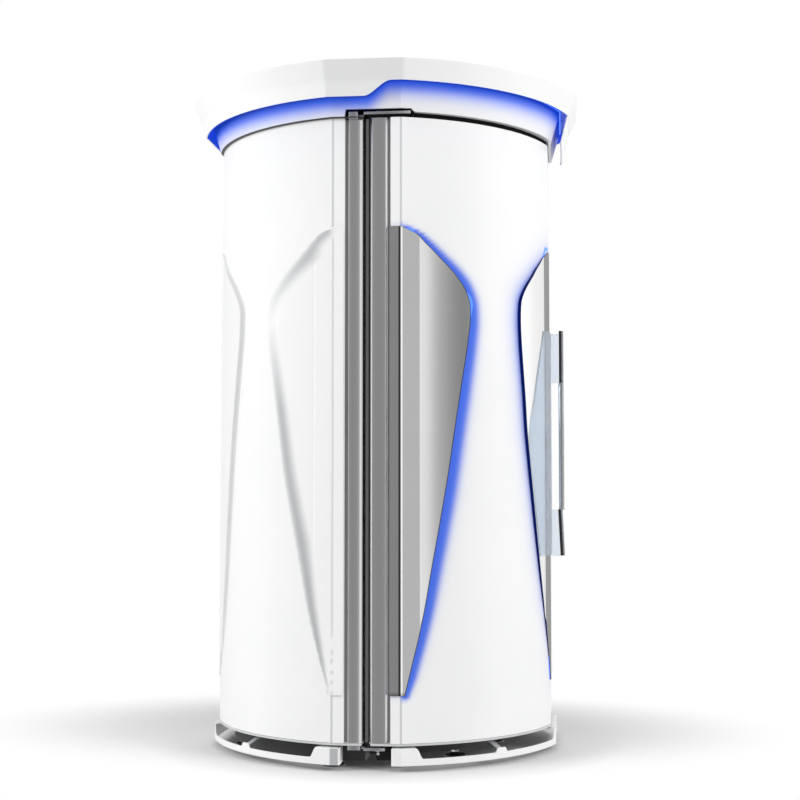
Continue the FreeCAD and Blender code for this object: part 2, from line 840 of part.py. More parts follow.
def window(label, side, half, first, last):
    """A notch through the plinth's wall and the lip over it, open at the top."""
    outside = quarter(side, half, -plinth_outset - plinth_wall)
    inside = quarter(side, half, window_depth - plinth_outset)
    return slab(label, [[first, outside, last, inside]], window_bottom, plinth_top - window_bottom + fit_gap)


def make_plinth(half):
    """The plinth's wall, notched twice in each quarter, and the lip and posts that it hangs from."""
    name = f"{half_name(half)}_plinth"
    outer = -plinth_outset
    wall = slab(name + "_wall", [half_ring(half, outer, outer + plinth_wall, cheek_start)],
                plinth_bottom, plinth_top - plinth_bottom)
    lip = slab(name + "_lip", [half_ring(half, outer, plinth_lip, cheek_start)],
               plinth_top - plinth_wall, plinth_wall)
    posts = slab(name + "_posts", [half_ring(half, plinth_lip - plinth_wall * 2, plinth_lip, cheek_start)],
                 plinth_top - plinth_wall, shell_bottom - plinth_top + plinth_wall)
    tools = []
    for side in (HINGE, CATCH):
        before_rib, after_rib = [Line("y", (window_rib + rib_width * place) * half) for place in (-0.5, 0.5)]
        tools.append(window(f"{name}_window_{side_name(side)}_near", side, half,
                            Line("y", window_start * half), before_rib))
        tools.append(window(f"{name}_window_{side_name(side)}_far", side, half,
                            after_rib, Line("x", window_end * side)))
    node(cut(name, join(name + "_blank", [wall, lip, posts]), tools))


for half in (REAR, DOOR):
    make_plinth(half)
    make_plates(half)
    make_uprights(half)
    make_side_wings(half)
    make_shells(half)
    make_end_wing(half, wing_front_reach if half == DOOR else wing_rear_reach)
    make_lamps(half)
    make_end_panels(half)
    make_seals(half)


# ---------------------------------------------------------------- base, platform and feet

def make_base():
    """Base of folded channels, open at the top: a half ring under the rear half, an oval of four welded
    quarters under the platform, and a tie across it."""
    wall = base_wall
    bottom = foot_top + wall
    ring_inside = platform_inset - fit_gap
    ring_height = shell_bottom - foot_top
    ring = join("base_ring_blank", [
        slab("base_ring_wall", [half_ring(REAR, plinth_lip, ring_inside, seam_half)], foot_top, ring_height),
        slab("base_ring_floor", [half_ring(REAR, plinth_lip, platform_inset, seam_half)], foot_top, wall)])
    ring_space = half_ring(REAR, plinth_lip + wall, ring_inside - wall, seam_half + wall)
    channels = [cut("base_ring", ring, [slab("base_ring_hollow", [ring_space], bottom, ring_height)])]

    oval_inside = platform_inset + beam_width
    height = platform_bottom - foot_top
    for half in (REAR, DOOR):
        for side in (HINGE, CATCH):
            name = f"base_oval_{half_name(half)}_{side_name(side)}"
            outside = quarter_ring_to_middle(side, half, platform_inset, oval_inside, fit_gap, fit_gap)
            inside = quarter_ring_to_middle(side, half, platform_inset + wall, oval_inside - wall,
                                            fit_gap + wall, fit_gap + wall)
            channels.append(cut(name, slab(name + "_blank", [outside], foot_top, height),
                                [slab(name + "_hollow", [inside], bottom, height)]))

    reach = half_length - oval_inside
    tie = block("base_tie_blank", -reach, -beam_width / 2, foot_top, reach * 2, beam_width, height)
    space = block("base_tie_hollow", wall - reach, wall - beam_width / 2, bottom,
                  reach * 2 - wall * 2, beam_width - wall * 2, height)
    node(bench("base_frame", channels + [cut("base_tie", tie, [space])]))


def make_platform():
    """Shallow tray that the user stands in, and the mat in it."""
    depth = mat_wall + tray_wall
    tray = slab("platform_blank", [oval(platform_inset)], platform_bottom, platform_top - platform_bottom)
    hollow = slab("platform_hollow", [oval(platform_inset + tray_wall)], platform_top - depth, depth * 2)
    node(cut("floor_platform", tray, [hollow]))
    node(slab("floor_mat", [oval(platform_inset + mat_margin)], platform_top - depth, mat_wall))


def foot_places():
    """Under the rear ring, and under the platform's oval beam at the front."""
    beam = platform_inset + beam_width / 2
    front_x = centre_x + (quarter_radius - beam) * cosine(foot_front_angle)
    front_y = centre_y + (quarter_radius - beam) * sine(foot_front_angle)
    places = [(as_size(0), beam - half_depth)]
    for side in (HINGE, CATCH):
        places.append(((half_length - foot_inset) * side, foot_side_place))
        places.append((end_facet * side, half_depth - foot_inset))
        places.append((front_x * side, -front_y))
    return places


def make_feet():
    """Levelling feet: a rubber-shod pad with its screw."""
    places = foot_places()
    pads = rods("foot_pads", places, pad_radius, as_size(0), pad_height)
    screws = rods("foot_screws", places, foot_screw, pad_height, foot_top - pad_height)
    node(join("levelling_feet", [pads, screws]))


make_base()
make_platform()
make_feet()


# ---------------------------------------------------------------- crown

def flared(label, stations, wall):
    """A thin flared ring lofted through (height, outset) stations."""
    body = new_body(label)
    for kind, drop in (("Additive", 0), ("Subtractive", 1)):
        sketches = []
        for height, outset in stations:
            sketch = new_sketch(body, "XY_Plane", height)
            draw(sketch, oval(wall * drop - outset))
            sketches.append(sketch)
        loft = body.newObject(f"PartDesign::{kind}Loft", f"{label}_{kind.lower()}")
        loft.Profile = sketches[0]
        loft.Sections = sketches[1:]
        loft.Ruled = True
        body.Tip = loft
    return body


def make_neck():
    """Flared white wall under the fascia, stepped up over the door and recessed at the hinge."""
    blank = flared("neck_blank", [(neck_bottom, neck_outset), (neck_flare_height, neck_flare),
                                  (crown_top - roof_wall, neck_flare)], neck_wall)
    reach = half_length + neck_flare + neck_wall
    over_door = block("neck_over_door", -reach, -reach, neck_bottom - crown_gap,
                      reach * 2, reach, crown_gap * 2 - plate_wall)
    node(cut("crown_neck", blank, [over_door, hinge_recess("neck_recess")]))


def hinge_recess(label):
    outer = half_length + neck_flare + neck_wall
    return block(label, -outer, -recess_front, shell_top - crown_gap,
                 outer - half_length + recess_depth, recess_front + recess_rear, crown_gap + recess_rise)


def make_fascia():
    """Flared band: deep at the rear, shallow over the door's quarters, and a visor at the front."""
    blank = flared("fascia_blank", [(fascia_visor, fascia_low_outset), (fascia_mid, fascia_mid_outset),
                                    (crown_top - roof_wall, fascia_top_outset)], fascia_wall)
    reach = half_length + fascia_top_outset + fascia_wall
    body = new_body("fascia_trim")
    sketch = new_sketch(body, "YZ_Plane")
    low = fascia_visor - fascia_wall
    draw_points(sketch, [(reach, low), (reach, fascia_rear), (as_size(0), fascia_rear),
                         (-fascia_step, fascia_door), (-reach, fascia_door), (-reach, low)])
    pad(body, sketch, reach * 2)
    move(body, x=-reach)
    visor = block("fascia_visor_block", -visor_half, -reach, low - fascia_wall,
                  visor_half * 2, reach / 2, fascia_door - low + fascia_wall * 2)
    node(cut("crown_fascia", blank, [cut("fascia_trim_tool", body, [visor])]))


def make_roof():
    """Roof plate on the fascia's rim, drilled for the exhaust."""
    body = new_body("crown_roof")
    sketch = new_sketch(body, "XY_Plane")
    draw(sketch, oval(-fascia_top_outset))
    draw_circle(sketch, 0, 0, spigot_radius)
    pad(body, sketch, roof_wall)
    node(move(body, z=crown_top - roof_wall))


def make_crown_light():
    """LED strip round the neck, up inside the fascia."""
    outset = neck_flare + strip_wall
    node(slab("crown_led_strip", [oval(-outset), oval(-neck_flare)], fascia_door + strip_rise, strip_height))


def make_ceiling():
    """Ceiling over the cabin with a round grille below the fan."""
    body = new_body("ceiling_blank")
    sketch = new_sketch(body, "XY_Plane")
    draw(sketch, oval(neck_wall + fit_gap - neck_outset))
    draw_circle(sketch, 0, 0, fan_bore)
    pad(body, sketch, ceiling_wall)
    move(body, z=shell_top + ceiling_rise)
    node(cut("ceiling_panel", body, [hinge_recess("ceiling_recess")]))

    body = new_body("grille_rings")
    sketch = new_sketch(body, "XY_Plane")
    radius = fan_bore + grille_pitch
    draw_circle(sketch, 0, 0, radius)
    draw_circle(sketch, 0, 0, radius - grille_pitch)
    for number in range(1, GRILLE_RINGS + 1):
        outer = fan_bore - grille_pitch * number
        draw_circle(sketch, 0, 0, outer)
        draw_circle(sketch, 0, 0, outer - grille_bar)
    pad(body, sketch, ceiling_wall)
    bottom = shell_top + ceiling_rise - ceiling_wall
    move(body, z=bottom)
    bars = [block("grille_bar_x", -fan_bore, -grille_bar / 2, bottom, fan_bore * 2, grille_bar, ceiling_wall),
            block("grille_bar_y", -grille_bar / 2, -fan_bore, bottom, grille_bar, fan_bore * 2, ceiling_wall)]
    node(join("ceiling_grille", [body] + bars))


def make_fan():
    """Axial fan: a square housing up to the roof, a motor on struts, a rotor, and the spigot."""
    low = shell_top + ceiling_rise + ceiling_wall
    height = crown_top - roof_wall - low
    frame = block("fan_frame_blank", -fan_frame / 2, -fan_frame / 2, low, fan_frame, fan_frame, height)
    bore = rod("fan_frame_bore", 0, 0, low - fit_gap, fan_bore, height + fit_gap * 2)
    node(cut("fan_housing", frame, [bore]))

    reach = fan_bore - fit_gap
    struts = [block("fan_strut_x", -reach, -strut_width / 2, low, reach * 2, strut_width, strut_width / 2),
              block("fan_strut_y", -strut_width / 2, -reach, low, strut_width, reach * 2, strut_width / 2)]
    motor_low = low + strut_width / 2
    rotor_low = motor_low + motor_height / 2
    motor = rod("fan_motor_can", 0, 0, motor_low, motor_radius / 2, motor_height / 2 - hinge_clear)
    shaft = rod("fan_shaft", 0, 0, motor_low, shaft_radius, motor_height / 2 + hub_height)
    node(join("fan_motor", struts + [motor, shaft]))

    hub = rod("fan_hub", 0, 0, rotor_low, hub_radius, hub_height)
    blade_length = fan_bore - blade_gap * 2 - hub_radius
    blade = block("fan_blade", hub_radius - blade_gap, -blade_chord / 2 * cosine(blade_pitch),
                  rotor_low + hub_height / 2 - blade_chord / 2 * sine(blade_pitch),
                  blade_length + blade_gap, blade_chord, blade_thickness)
    blade.Placement.Rotation = Rotation(Vector(1, 0, 0), blade_pitch.value)
    bind(blade, **{"Placement.Rotation.Angle": blade_pitch})
    blades = []
    for number in range(FAN_BLADES):
        turned = bench(f"fan_blade_{number}", [blade])
        turned.Placement.Rotation = Rotation(Vector(0, 0, 1), number * 360 / FAN_BLADES)
        blades.append(turned)
    shaft_bore = rod("fan_hub_bore", 0, 0, rotor_low - hinge_clear, shaft_radius + running_gap,
                     hub_height + hinge_clear * 2)
    node(cut("fan_rotor", join("fan_rotor_blank", [hub] + blades), [shaft_bore]))

    flange = rod("spigot_flange_blank", 0, 0, crown_top, spigot_flange, roof_wall)
    pipe_height = spigot_height + roof_wall
    pipe = rod("spigot_pipe", 0, 0, crown_top - roof_wall, spigot_radius, pipe_height)
    hole = rod("spigot_hole", 0, 0, crown_top - roof_wall - fit_gap, spigot_radius - spigot_wall,
               pipe_height + fit_gap * 2)
    node(cut("exhaust_spigot", join("spigot_blank", [flange, pipe]), [hole]))


make_neck()
make_fascia()
make_roof()
make_crown_light()
make_ceiling()
make_fan()


# ---------------------------------------------------------------- hinge and catch

def make_hinge():
    """Brackets on the rear half, their pins, and the door's bushes and stop block."""
    outer = upright_outer
    top = side_block("hinge_arm_top", HINGE, REAR, outer, outer - bracket_depth,
                     -bracket_front_top, upright_end, bracket_high, bracket_wall)
    spacer = side_block("hinge_spacer_top", HINGE, REAR, outer, outer - bracket_depth,
                        upright_end / 2, upright_end, neck_bottom, bracket_high - neck_bottom)
    low = side_block("hinge_arm_low", HINGE, REAR, outer, outer - bracket_depth,
                     -bracket_front_low, upright_end, bracket_low, bracket_wall)
    foot = side_block("hinge_spacer_low", HINGE, REAR, outer, outer - bracket_depth,
                      seam_half, upright_end, bracket_low + bracket_wall, bracket_drop)
    brackets = []
    for end, pieces, bottom in (("top", [top, spacer], bracket_high), ("bottom", [low, foot], bracket_low)):
        hole = rod(f"hinge_{end}_hole", hinge_x, hinge_y, bottom - hinge_clear,
                   pin_radius, bracket_wall + hinge_clear * 2)
        brackets.append(cut(f"hinge_bracket_{end}", join(f"hinge_{end}_blank", pieces), [hole]))
    node(bench("hinge_brackets", brackets))

    bush_low = inner_bottom
    bush_high = inner_bottom + inner_height - bush_height
    low_shank = rod("pin_shank_low", hinge_x, hinge_y, bracket_low,
                    pin_radius, bush_low - bracket_low + pin_grip)
    low_head = rod("pin_head_low", hinge_x, hinge_y, bracket_low - pin_head_height,
                   pin_head_radius, pin_head_height)
    pin_low = bush_high + bush_height - pin_grip
    high_shank = rod("pin_shank_high", hinge_x, hinge_y, pin_low, pin_radius,
                     bracket_high + bracket_wall - pin_low)
    high_head = rod("pin_head_high", hinge_x, hinge_y, bracket_high + bracket_wall,
                    pin_head_radius, pin_head_height)
    node(bench("hinge_pins", [join("hinge_pin_low", [low_shank, low_head]),
                              join("hinge_pin_high", [high_shank, high_head])]))

    washer = rod("washer_blank", hinge_x, hinge_y, bracket_low + bracket_wall, washer_radius,
                 bracket_drop - hinge_clear)
    hole = rod("washer_hole", hinge_x, hinge_y, bracket_low, pin_radius, bracket_drop * 2 + bracket_wall)
    node(cut("hinge_thrust_washer", washer, [hole]))

    wall = upright_wall
    bushes = []
    for end, bottom in (("low", bush_low), ("high", bush_high)):
        blank = side_block(f"bush_{end}_blank", HINGE, DOOR, upright_outer - wall * 2, upright_inner + wall,
                           seam_half + wall, upright_end - wall, bottom, bush_height)
        bore = rod(f"bush_{end}_bore", hinge_x, hinge_y, bottom - hinge_clear,
                   pin_radius + running_gap, bush_height + hinge_clear * 2)
        bushes.append(cut(f"bush_{end}", blank, [bore]))
    node(bench("door_hinge_bushes", bushes))

    stop_outer = half_length - stop_inset
    node(side_block("door_stop_block", HINGE, DOOR, stop_outer, stop_outer - stop_depth,
                    stop_near, stop_near + stop_width, foot_top, shell_bottom - foot_top))


def make_catch():
    """Magnets on the rear end panel and striker plates on the door's, on the catch side."""
    outer = half_length - magnet_inset
    magnets, strikers = [], []
    for height in MAGNET_HEIGHTS:
        magnets.append(side_block(f"magnet_{height}", CATCH, REAR, outer, outer - magnet_width,
                                  seam_half - magnet_thick, seam_half, as_size(height), magnet_length))
        strikers.append(side_block(f"striker_{height}", CATCH, DOOR, outer, outer - magnet_width,
                                   magnet_thick - seam_half + magnet_gap, seam_half,
                                   as_size(height), magnet_length))
    node(bench("catch_magnets", magnets))
    node(bench("door_strikers", strikers))


make_hinge()
make_catch()


# ---------------------------------------------------------------- door front: light and handle

def light_band(label, skin_edges, prism, points_at):
    """A strip on a skin, between two copies of a wing's outline."""
    skin = slab(label + "_skin", [skin_edges], wing_bottom, wing_top - wing_bottom)
    outside, inside = [prism(f"{label}_prism_{number}", points_at(margin))
                       for number, margin in enumerate((led_inset, led_inset + led_width))]
    return common(label, skin, cut(label + "_band", outside, [inside]))


def make_wing_lights():
    """LED strips on the door skins, just inside the edges of all three wings."""
    strips = []
    outer, inner = shell_inset - led_wall, shell_inset
    for side in (HINGE, CATCH):
        start = side_facet + led_width
        stop = end_facet + wing_front_reach + led_width
        edges = quarter_ring(side, DOOR, outer, inner, start, stop)
        strips.append(light_band(
            f"led_side_{side_name(side)}", [Line("y", -start)] + edges[2:-1],
            lambda label, points, side=side: side_prism(label, side, DOOR, points),
            lambda margin: wing_points(side_facet, wing_side_reach, margin)))
        edges = [Line("x", (end_facet + led_width) * side), quarter(side, DOOR, outer),
                 Line("y", -start - wing_side_reach), quarter(side, DOOR, inner)]
        strips.append(light_band(
            f"led_front_{side_name(side)}", edges,
            lambda label, points: end_prism(label, DOOR, points),
            lambda margin: wing_points(end_facet, wing_front_reach, margin)[1:-1]))
    node(bench("door_led_strips", strips))


def make_handle():
    """Clear bracket over the front wing with two blocks, a tubular grip bar and its dark end blades."""
    skin = slab("handle_skin", [end_wing_edges(DOOR, handle_reach, -handle_wall, as_size(0))],
                handle_bottom, handle_top - handle_bottom)
    right = [(end_facet + handle_shoulder, handle_top), (end_facet + handle_reach, handle_widest),
             (end_facet + handle_foot, handle_bottom)]
    prism = new_body("handle_prism")
    sketch = new_sketch(prism, "XZ_Plane")
    draw_points(sketch, right + [(-x, z) for x, z in reversed(right)])
    pad(prism, sketch, end_facet * 2, reverse=True)
    move(prism, y=-half_depth - end_facet)

    face = half_depth + handle_wall
    blocks = [block(f"handle_block_{end}", -block_width / 2, -face - block_depth, low,
                    block_width, block_depth + handle_wall / 2, high - low)
              for end, low, high in (("low", handle_bottom, grip_bottom), ("high", grip_top, handle_top))]
    node(join("handle_plate", [common("handle_sheet", skin, prism)] + blocks))

    back = face + block_depth
    bar_top = handle_top + blade_rise
    blades = [block(f"handle_blade_{end}", -bar_width / 2, -back - blade_wall, low,
                    bar_width, blade_wall, high - low)
              for end, low, high in (("low", handle_bottom, grip_bottom), ("high", grip_top, bar_top))]
    node(bench("handle_blades", blades))
    front = back + blade_wall + bar_thick
    bar = block("handle_bar_blank", -bar_width / 2, -front, handle_bottom,
                bar_width, bar_thick, bar_top - handle_bottom)
    hollow = block("handle_bar_hollow", bar_wall - bar_width / 2, bar_wall - front, handle_bottom + bar_wall,
                   bar_width - bar_wall * 2, bar_thick - bar_wall * 2, bar_top - handle_bottom - bar_wall * 2)
    node(cut("handle_bar", bar, [hollow]))


make_wing_lights()
make_handle()


# ---------------------------------------------------------------- cabin fittings and services

def make_controls():
    """Control panel on the rear guard beside the catch, with three push buttons."""
    outer = half_length - ring_inner
    blank = side_block("panel_blank", CATCH, REAR, outer, outer - panel_thick,
                       panel_start, panel_start + panel_width, panel_bottom, panel_height)
    across = Rotation(Vector(0, 1, 0), 90)
    middle = panel_start + panel_width / 2
    depth = button_length - button_proud + button_travel * 2
    wells = []
    for number, name in enumerate(("stop", "fan", "start")):
        height = panel_bottom + button_pitch * (number + 1)
        face = outer - panel_thick
        wells.append(rod(f"well_{name}", face - button_gap, middle, height,
                         button_radius + button_gap, depth + button_gap, across))
        node(rod(f"button_{name}", face - button_proud, middle, height, button_radius, button_length, across))
    node(cut("control_panel", blank, wells))


def make_rail():
    """Hand rail under the ceiling: two posts and a bar between them."""
    top = shell_top + ceiling_rise
    bar_height = top - rail_drop
    posts = [rod(f"rail_post_{side_name(side)}", rail_half * side, rail_place, bar_height,
                 rail_radius, rail_drop) for side in (HINGE, CATCH)]
    flanges = [rod(f"rail_flange_{side_name(side)}", rail_half * side, rail_place, top - rail_flange_wall,
                   rail_flange, rail_flange_wall) for side in (HINGE, CATCH)]
    bar = rod("rail_bar", -rail_half, rail_place, bar_height, rail_radius, rail_half * 2,
              Rotation(Vector(0, 1, 0), 90))
    balls = []
    for side in (HINGE, CATCH):
        ball = doc.addObject("Part::Sphere", f"rail_corner_{side_name(side)}")
        bind(ball, Radius=rail_radius)
        balls.append(move(ball, rail_half * side, rail_place, bar_height))
    node(join("hand_rail", posts + flanges + [bar] + balls))


def make_services():
    """Ballast units on the back of the rear reflector, and the mains gland in the back skin."""
    back = half_depth - reflector_inset
    pieces = []
    first = (ballast_pitch * (1 - BALLASTS_IN_ROW) - ballast_width) / 2
    for row in range(BALLAST_ROWS):
        for column in range(BALLASTS_IN_ROW):
            pieces.append(block(f"ballast_{row}_{column}", first + ballast_pitch * column, back,
                                ballast_bottom + (ballast_length + ballast_pitch) * row,
                                ballast_width, ballast_thick, ballast_length))
    node(bench("ballast_units", pieces))

    inward = Rotation(Vector(1, 0, 0), -90)
    start = half_depth - shell_inset
    body = rod("gland_blank", 0, start, gland_height, gland_radius, gland_length, inward)
    hole = rod("gland_hole", 0, start - fit_gap, gland_height, gland_bore, gland_length + fit_gap * 2, inward)
    node(cut("mains_gland", body, [hole]))


make_controls()
make_rail()
make_services()


# ---------------------------------------------------------------- check and write

doc.recompute()
faults = [thing.Label for thing in doc.Objects if {"Invalid", "Error"} & set(thing.State)]
faults += [thing.Label for thing in nodes if thing.Shape.isNull() or not thing.Shape.isValid()]
if faults:
    raise RuntimeError("not built: " + ", ".join(faults))

os.makedirs("parts", exist_ok=True)
for thing in nodes:
    print(f"{thing.Label}: {len(thing.Shape.Solids)} solids, {thing.Shape.Volume / 1000:.1f} cm3")
    thing.Shape.exportStep(os.path.join("parts", thing.Label + ".step"))
print(len(nodes), "sub-parts")
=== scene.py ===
# %% [markdown]
# # A stand-up tanning booth
# An oval sheet-metal cabin in two halves: the rear half stands on the floor and carries the crown, the
# front half is the door and swings on two pins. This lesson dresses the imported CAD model: first the
# plan's geometry, then the finishes, then one cell for each piece, and at the end the studio.
# Lengths are written in millimetres and turned into metres when a mesh is made.

# %% Start
import json
import math

import bmesh
import bpy
import numpy as np
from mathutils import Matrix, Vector

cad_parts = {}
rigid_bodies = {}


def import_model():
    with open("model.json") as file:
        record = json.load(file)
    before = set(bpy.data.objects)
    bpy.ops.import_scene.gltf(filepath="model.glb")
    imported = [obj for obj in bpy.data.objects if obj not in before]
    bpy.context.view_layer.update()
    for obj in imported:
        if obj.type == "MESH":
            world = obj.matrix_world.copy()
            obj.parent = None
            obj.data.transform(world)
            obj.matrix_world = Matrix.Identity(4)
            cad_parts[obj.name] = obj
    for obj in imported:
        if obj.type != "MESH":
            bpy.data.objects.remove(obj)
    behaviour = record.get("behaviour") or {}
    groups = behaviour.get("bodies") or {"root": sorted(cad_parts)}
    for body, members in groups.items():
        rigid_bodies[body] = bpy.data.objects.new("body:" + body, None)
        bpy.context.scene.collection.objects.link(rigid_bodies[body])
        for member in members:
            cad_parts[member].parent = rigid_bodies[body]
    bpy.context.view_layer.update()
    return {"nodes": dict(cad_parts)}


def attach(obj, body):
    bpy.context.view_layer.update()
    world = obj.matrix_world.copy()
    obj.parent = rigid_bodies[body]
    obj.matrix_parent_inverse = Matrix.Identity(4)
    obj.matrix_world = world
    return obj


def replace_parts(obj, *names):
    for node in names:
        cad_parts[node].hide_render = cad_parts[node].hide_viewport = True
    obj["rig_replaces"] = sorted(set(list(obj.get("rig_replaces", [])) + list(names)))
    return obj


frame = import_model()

NODES = frame["nodes"]

# %% [markdown]
# ## The plan
# Seen from above, the booth is an oval of four flat facets joined by four equal arcs. Every sheet of it
# runs at some inset from that outline, so one function that gives the outline at an inset serves all.
# An arc's centre follows from the two corners that it joins and its radius.

# %% Plan numbers
HALF_LENGTH, HALF_DEPTH = 652.0, 606.0
SIDE_CORNER, END_CORNER, ARC_RADIUS = 116.0, 160.0, 709.0
SHELL_BOTTOM, SHELL_TOP, CROWN_TOP = 90.0, 2177.0, 2350.0
SKIN_INSET, SKIN_WALL = 4.5, 3.0
HINGE, CATCH, DOOR, REAR = -1.0, 1.0, -1.0, 1.0
HALF_NAME, SIDE_NAME = {DOOR: "door", REAR: "rear"}, {HINGE: "hinge", CATCH: "catch"}
HALF_BODY = {DOOR: "door", REAR: "booth"}

corner_a, corner_b = np.array([HALF_LENGTH, SIDE_CORNER]), np.array([END_CORNER, HALF_DEPTH])
chord = corner_b - corner_a
chord_length = np.hypot(*chord)
inward = np.array([-chord[1], chord[0]]) / chord_length
rise = math.sqrt(ARC_RADIUS**2 - chord_length**2 / 4)
ARC_CENTRE = (corner_a + corner_b) / 2 + inward * rise
print("arc centre:", ARC_CENTRE.round(1))


def corner_angles(inset):
    """Angles at the arc's centre of the two corners, where the arc meets the side and the end facet."""
    radius = ARC_RADIUS - inset
    first = math.acos((HALF_LENGTH - inset - ARC_CENTRE[0]) / radius)
    last = math.asin((HALF_DEPTH - inset - ARC_CENTRE[1]) / radius)
    return first, last


def on_arc(inset, angles):
    """Points at these angles: the centre plus the radius times the angle's cosine and sine."""
    return ARC_CENTRE + (ARC_RADIUS - inset) * np.stack([np.cos(angles), np.sin(angles)], -1)


def quarter_ring(inset, facet=20, arc=96):
    """A quarter of the plan from the X axis to the Y axis: facet, arc, facet, with a fixed count."""
    curve = on_arc(inset, np.linspace(*corner_angles(inset), arc))
    side = np.stack([np.full(facet, curve[0, 0]), np.linspace(0, curve[0, 1], facet, endpoint=False)], -1)
    end = np.stack([np.linspace(curve[-1, 0], 0, facet + 1)[1:], np.full(facet, curve[-1, 1])], -1)
    return np.concatenate([side, curve, end])


def ring(inset, facet=20, arc=96):
    """The whole plan, anticlockwise: the quarter and its three mirror images, joined end to end."""
    quarter = quarter_ring(inset, facet, arc)
    left, right = quarter[::-1] * (-1, 1), quarter[::-1] * (1, -1)
    return np.concatenate([quarter[:-1], left[:-1], -quarter[:-1], right[:-1]])


# %% [markdown]
# ## Shapes as arrays
# A shape is an array of points and a list of faces. A sheet is a grid of points whose neighbours are
# joined by quads. A bar is a closed outline pushed along an axis, and a turned piece is a profile of
# radius and height carried round a line. Shapes are joined into one mesh when a piece is made.

# %% Shape builders


def shape(points, faces, **marks):
    """Points, faces and any values that belong to the points, kept together."""
    return {"points": np.asarray(points, float).reshape(-1, 3), "faces": faces, "marks": marks}


def outward(made):
    """Turns a shape's faces round if they point inwards: the signed volume, fanned from a point on the
    booth's axis, is then negative."""
    points = made["points"]
    centre = np.array([0.0, 0.0, points[:, 2].mean()])
    volume = 0.0
    for count in {len(face) for face in made["faces"]}:
        faces = points[np.array([face for face in made["faces"] if len(face) == count])] - centre
        for corner in range(1, count - 1):
            volume += np.einsum("ij,ij->", faces[:, 0], np.cross(faces[:, corner], faces[:, corner + 1]))
    if volume < 0:
        made["faces"] = [face[::-1] for face in made["faces"]]
    return made


def sheet(grid, closed=False, **marks):
    """A grid of points, rows by columns, joined into quads; closed joins the last column to the first."""
    rows, columns = grid.shape[:2]
    index = np.arange(rows * columns).reshape(rows, columns)
    if closed:
        index = np.concatenate([index, index[:, :1]], axis=1)
    quads = np.stack([index[:-1, :-1], index[:-1, 1:], index[1:, 1:], index[1:, :-1]], -1)
    return outward(shape(grid, quads.reshape(-1, 4).tolist(), **{k: v.ravel() for k, v in marks.items()}))


def bar(outline, low, high, axis=2):
    """A closed outline of two coordinates, pushed along the third from low to high, with both ends."""
    outline = np.asarray(outline, float)
    count = len(outline)
    points = np.insert(np.tile(outline, (2, 1)), axis, np.repeat([low, high], count), axis=1)
    here, after = np.arange(count), np.roll(np.arange(count), -1)
    sides = np.stack([here, after, after + count, here + count], -1).tolist()
    ends = [list(range(count))[::-1], list(range(count, count * 2))]
    return outward(shape(points, sides + ends))


def block(low, high):
    """A box between two opposite corners."""
    outline = [(low[0], low[1]), (high[0], low[1]), (high[0], high[1]), (low[0], high[1])]
    return bar(outline, low[2], high[2])


def turned(profile, middle, count=32, axis=2):
    """A profile of (radius, height) carried round a line along one axis through the point `middle`."""
    profile = np.asarray(profile, float)
    angles = np.linspace(0, 2 * np.pi, count, endpoint=False)
    across = profile[:, :1] * np.cos(angles), profile[:, :1] * np.sin(angles)
    grid = np.stack([*across, np.repeat(profile[:, 1:], count, axis=1)], -1)
    return sheet(np.roll(grid, axis - 2, axis=-1) + np.asarray(middle, float), closed=True)


def placed(made, x=1.0, y=1.0, z=1.0, by=(0, 0, 0)):
    """The same shape, mirrored by signs along the axes and moved."""
    points = made["points"] * (x, y, z) + np.asarray(by, float)
    return outward(shape(points, made["faces"], **made["marks"]))


def both_sides(made, half=1.0):
    """The same shape on the hinge side and on the catch side of one half."""
    return [placed(made, x=side, y=half) for side in (HINGE, CATCH)]


def raised(plan, heights):
    """Plan points with a height each: one path at a list of heights, or a height for every point."""
    heights = np.asarray(heights, float)
    if heights.ndim == 1:
        heights = heights[:, None]
    return np.stack(np.broadcast_arrays(plan[..., 0], plan[..., 1], heights), -1)


def rounded(width, depth, radius, steps=4):
    """A rectangle's outline about the origin with quarter circles at its corners."""
    turn = np.linspace(0, np.pi / 2, steps + 1)
    corner = np.stack([np.cos(turn), np.sin(turn)], -1) * radius
    reach = np.array([width / 2 - radius, depth / 2 - radius])
    first, second = corner + reach, corner[::-1] * (-1, 1) + reach * (-1, 1)
    return np.concatenate([first, second, -first, -second])


# %% [markdown]
# ## From shapes to pieces
# A piece joins its shapes into one mesh, welds points that meet, gives a sheet its wall with Solidify
# and softens edges with Bevel. Both modifiers are applied, and then edges sharper than an angle are
# marked, so flat faces stay flat and curved ones shade smoothly. At the end the piece is tied to the
# body that carries it and to the CAD nodes that it stands for.

# %% Piece maker
WELD_GAP, BEVEL_STEPS, BEVEL_ANGLE = 2e-6, 2, 35.0


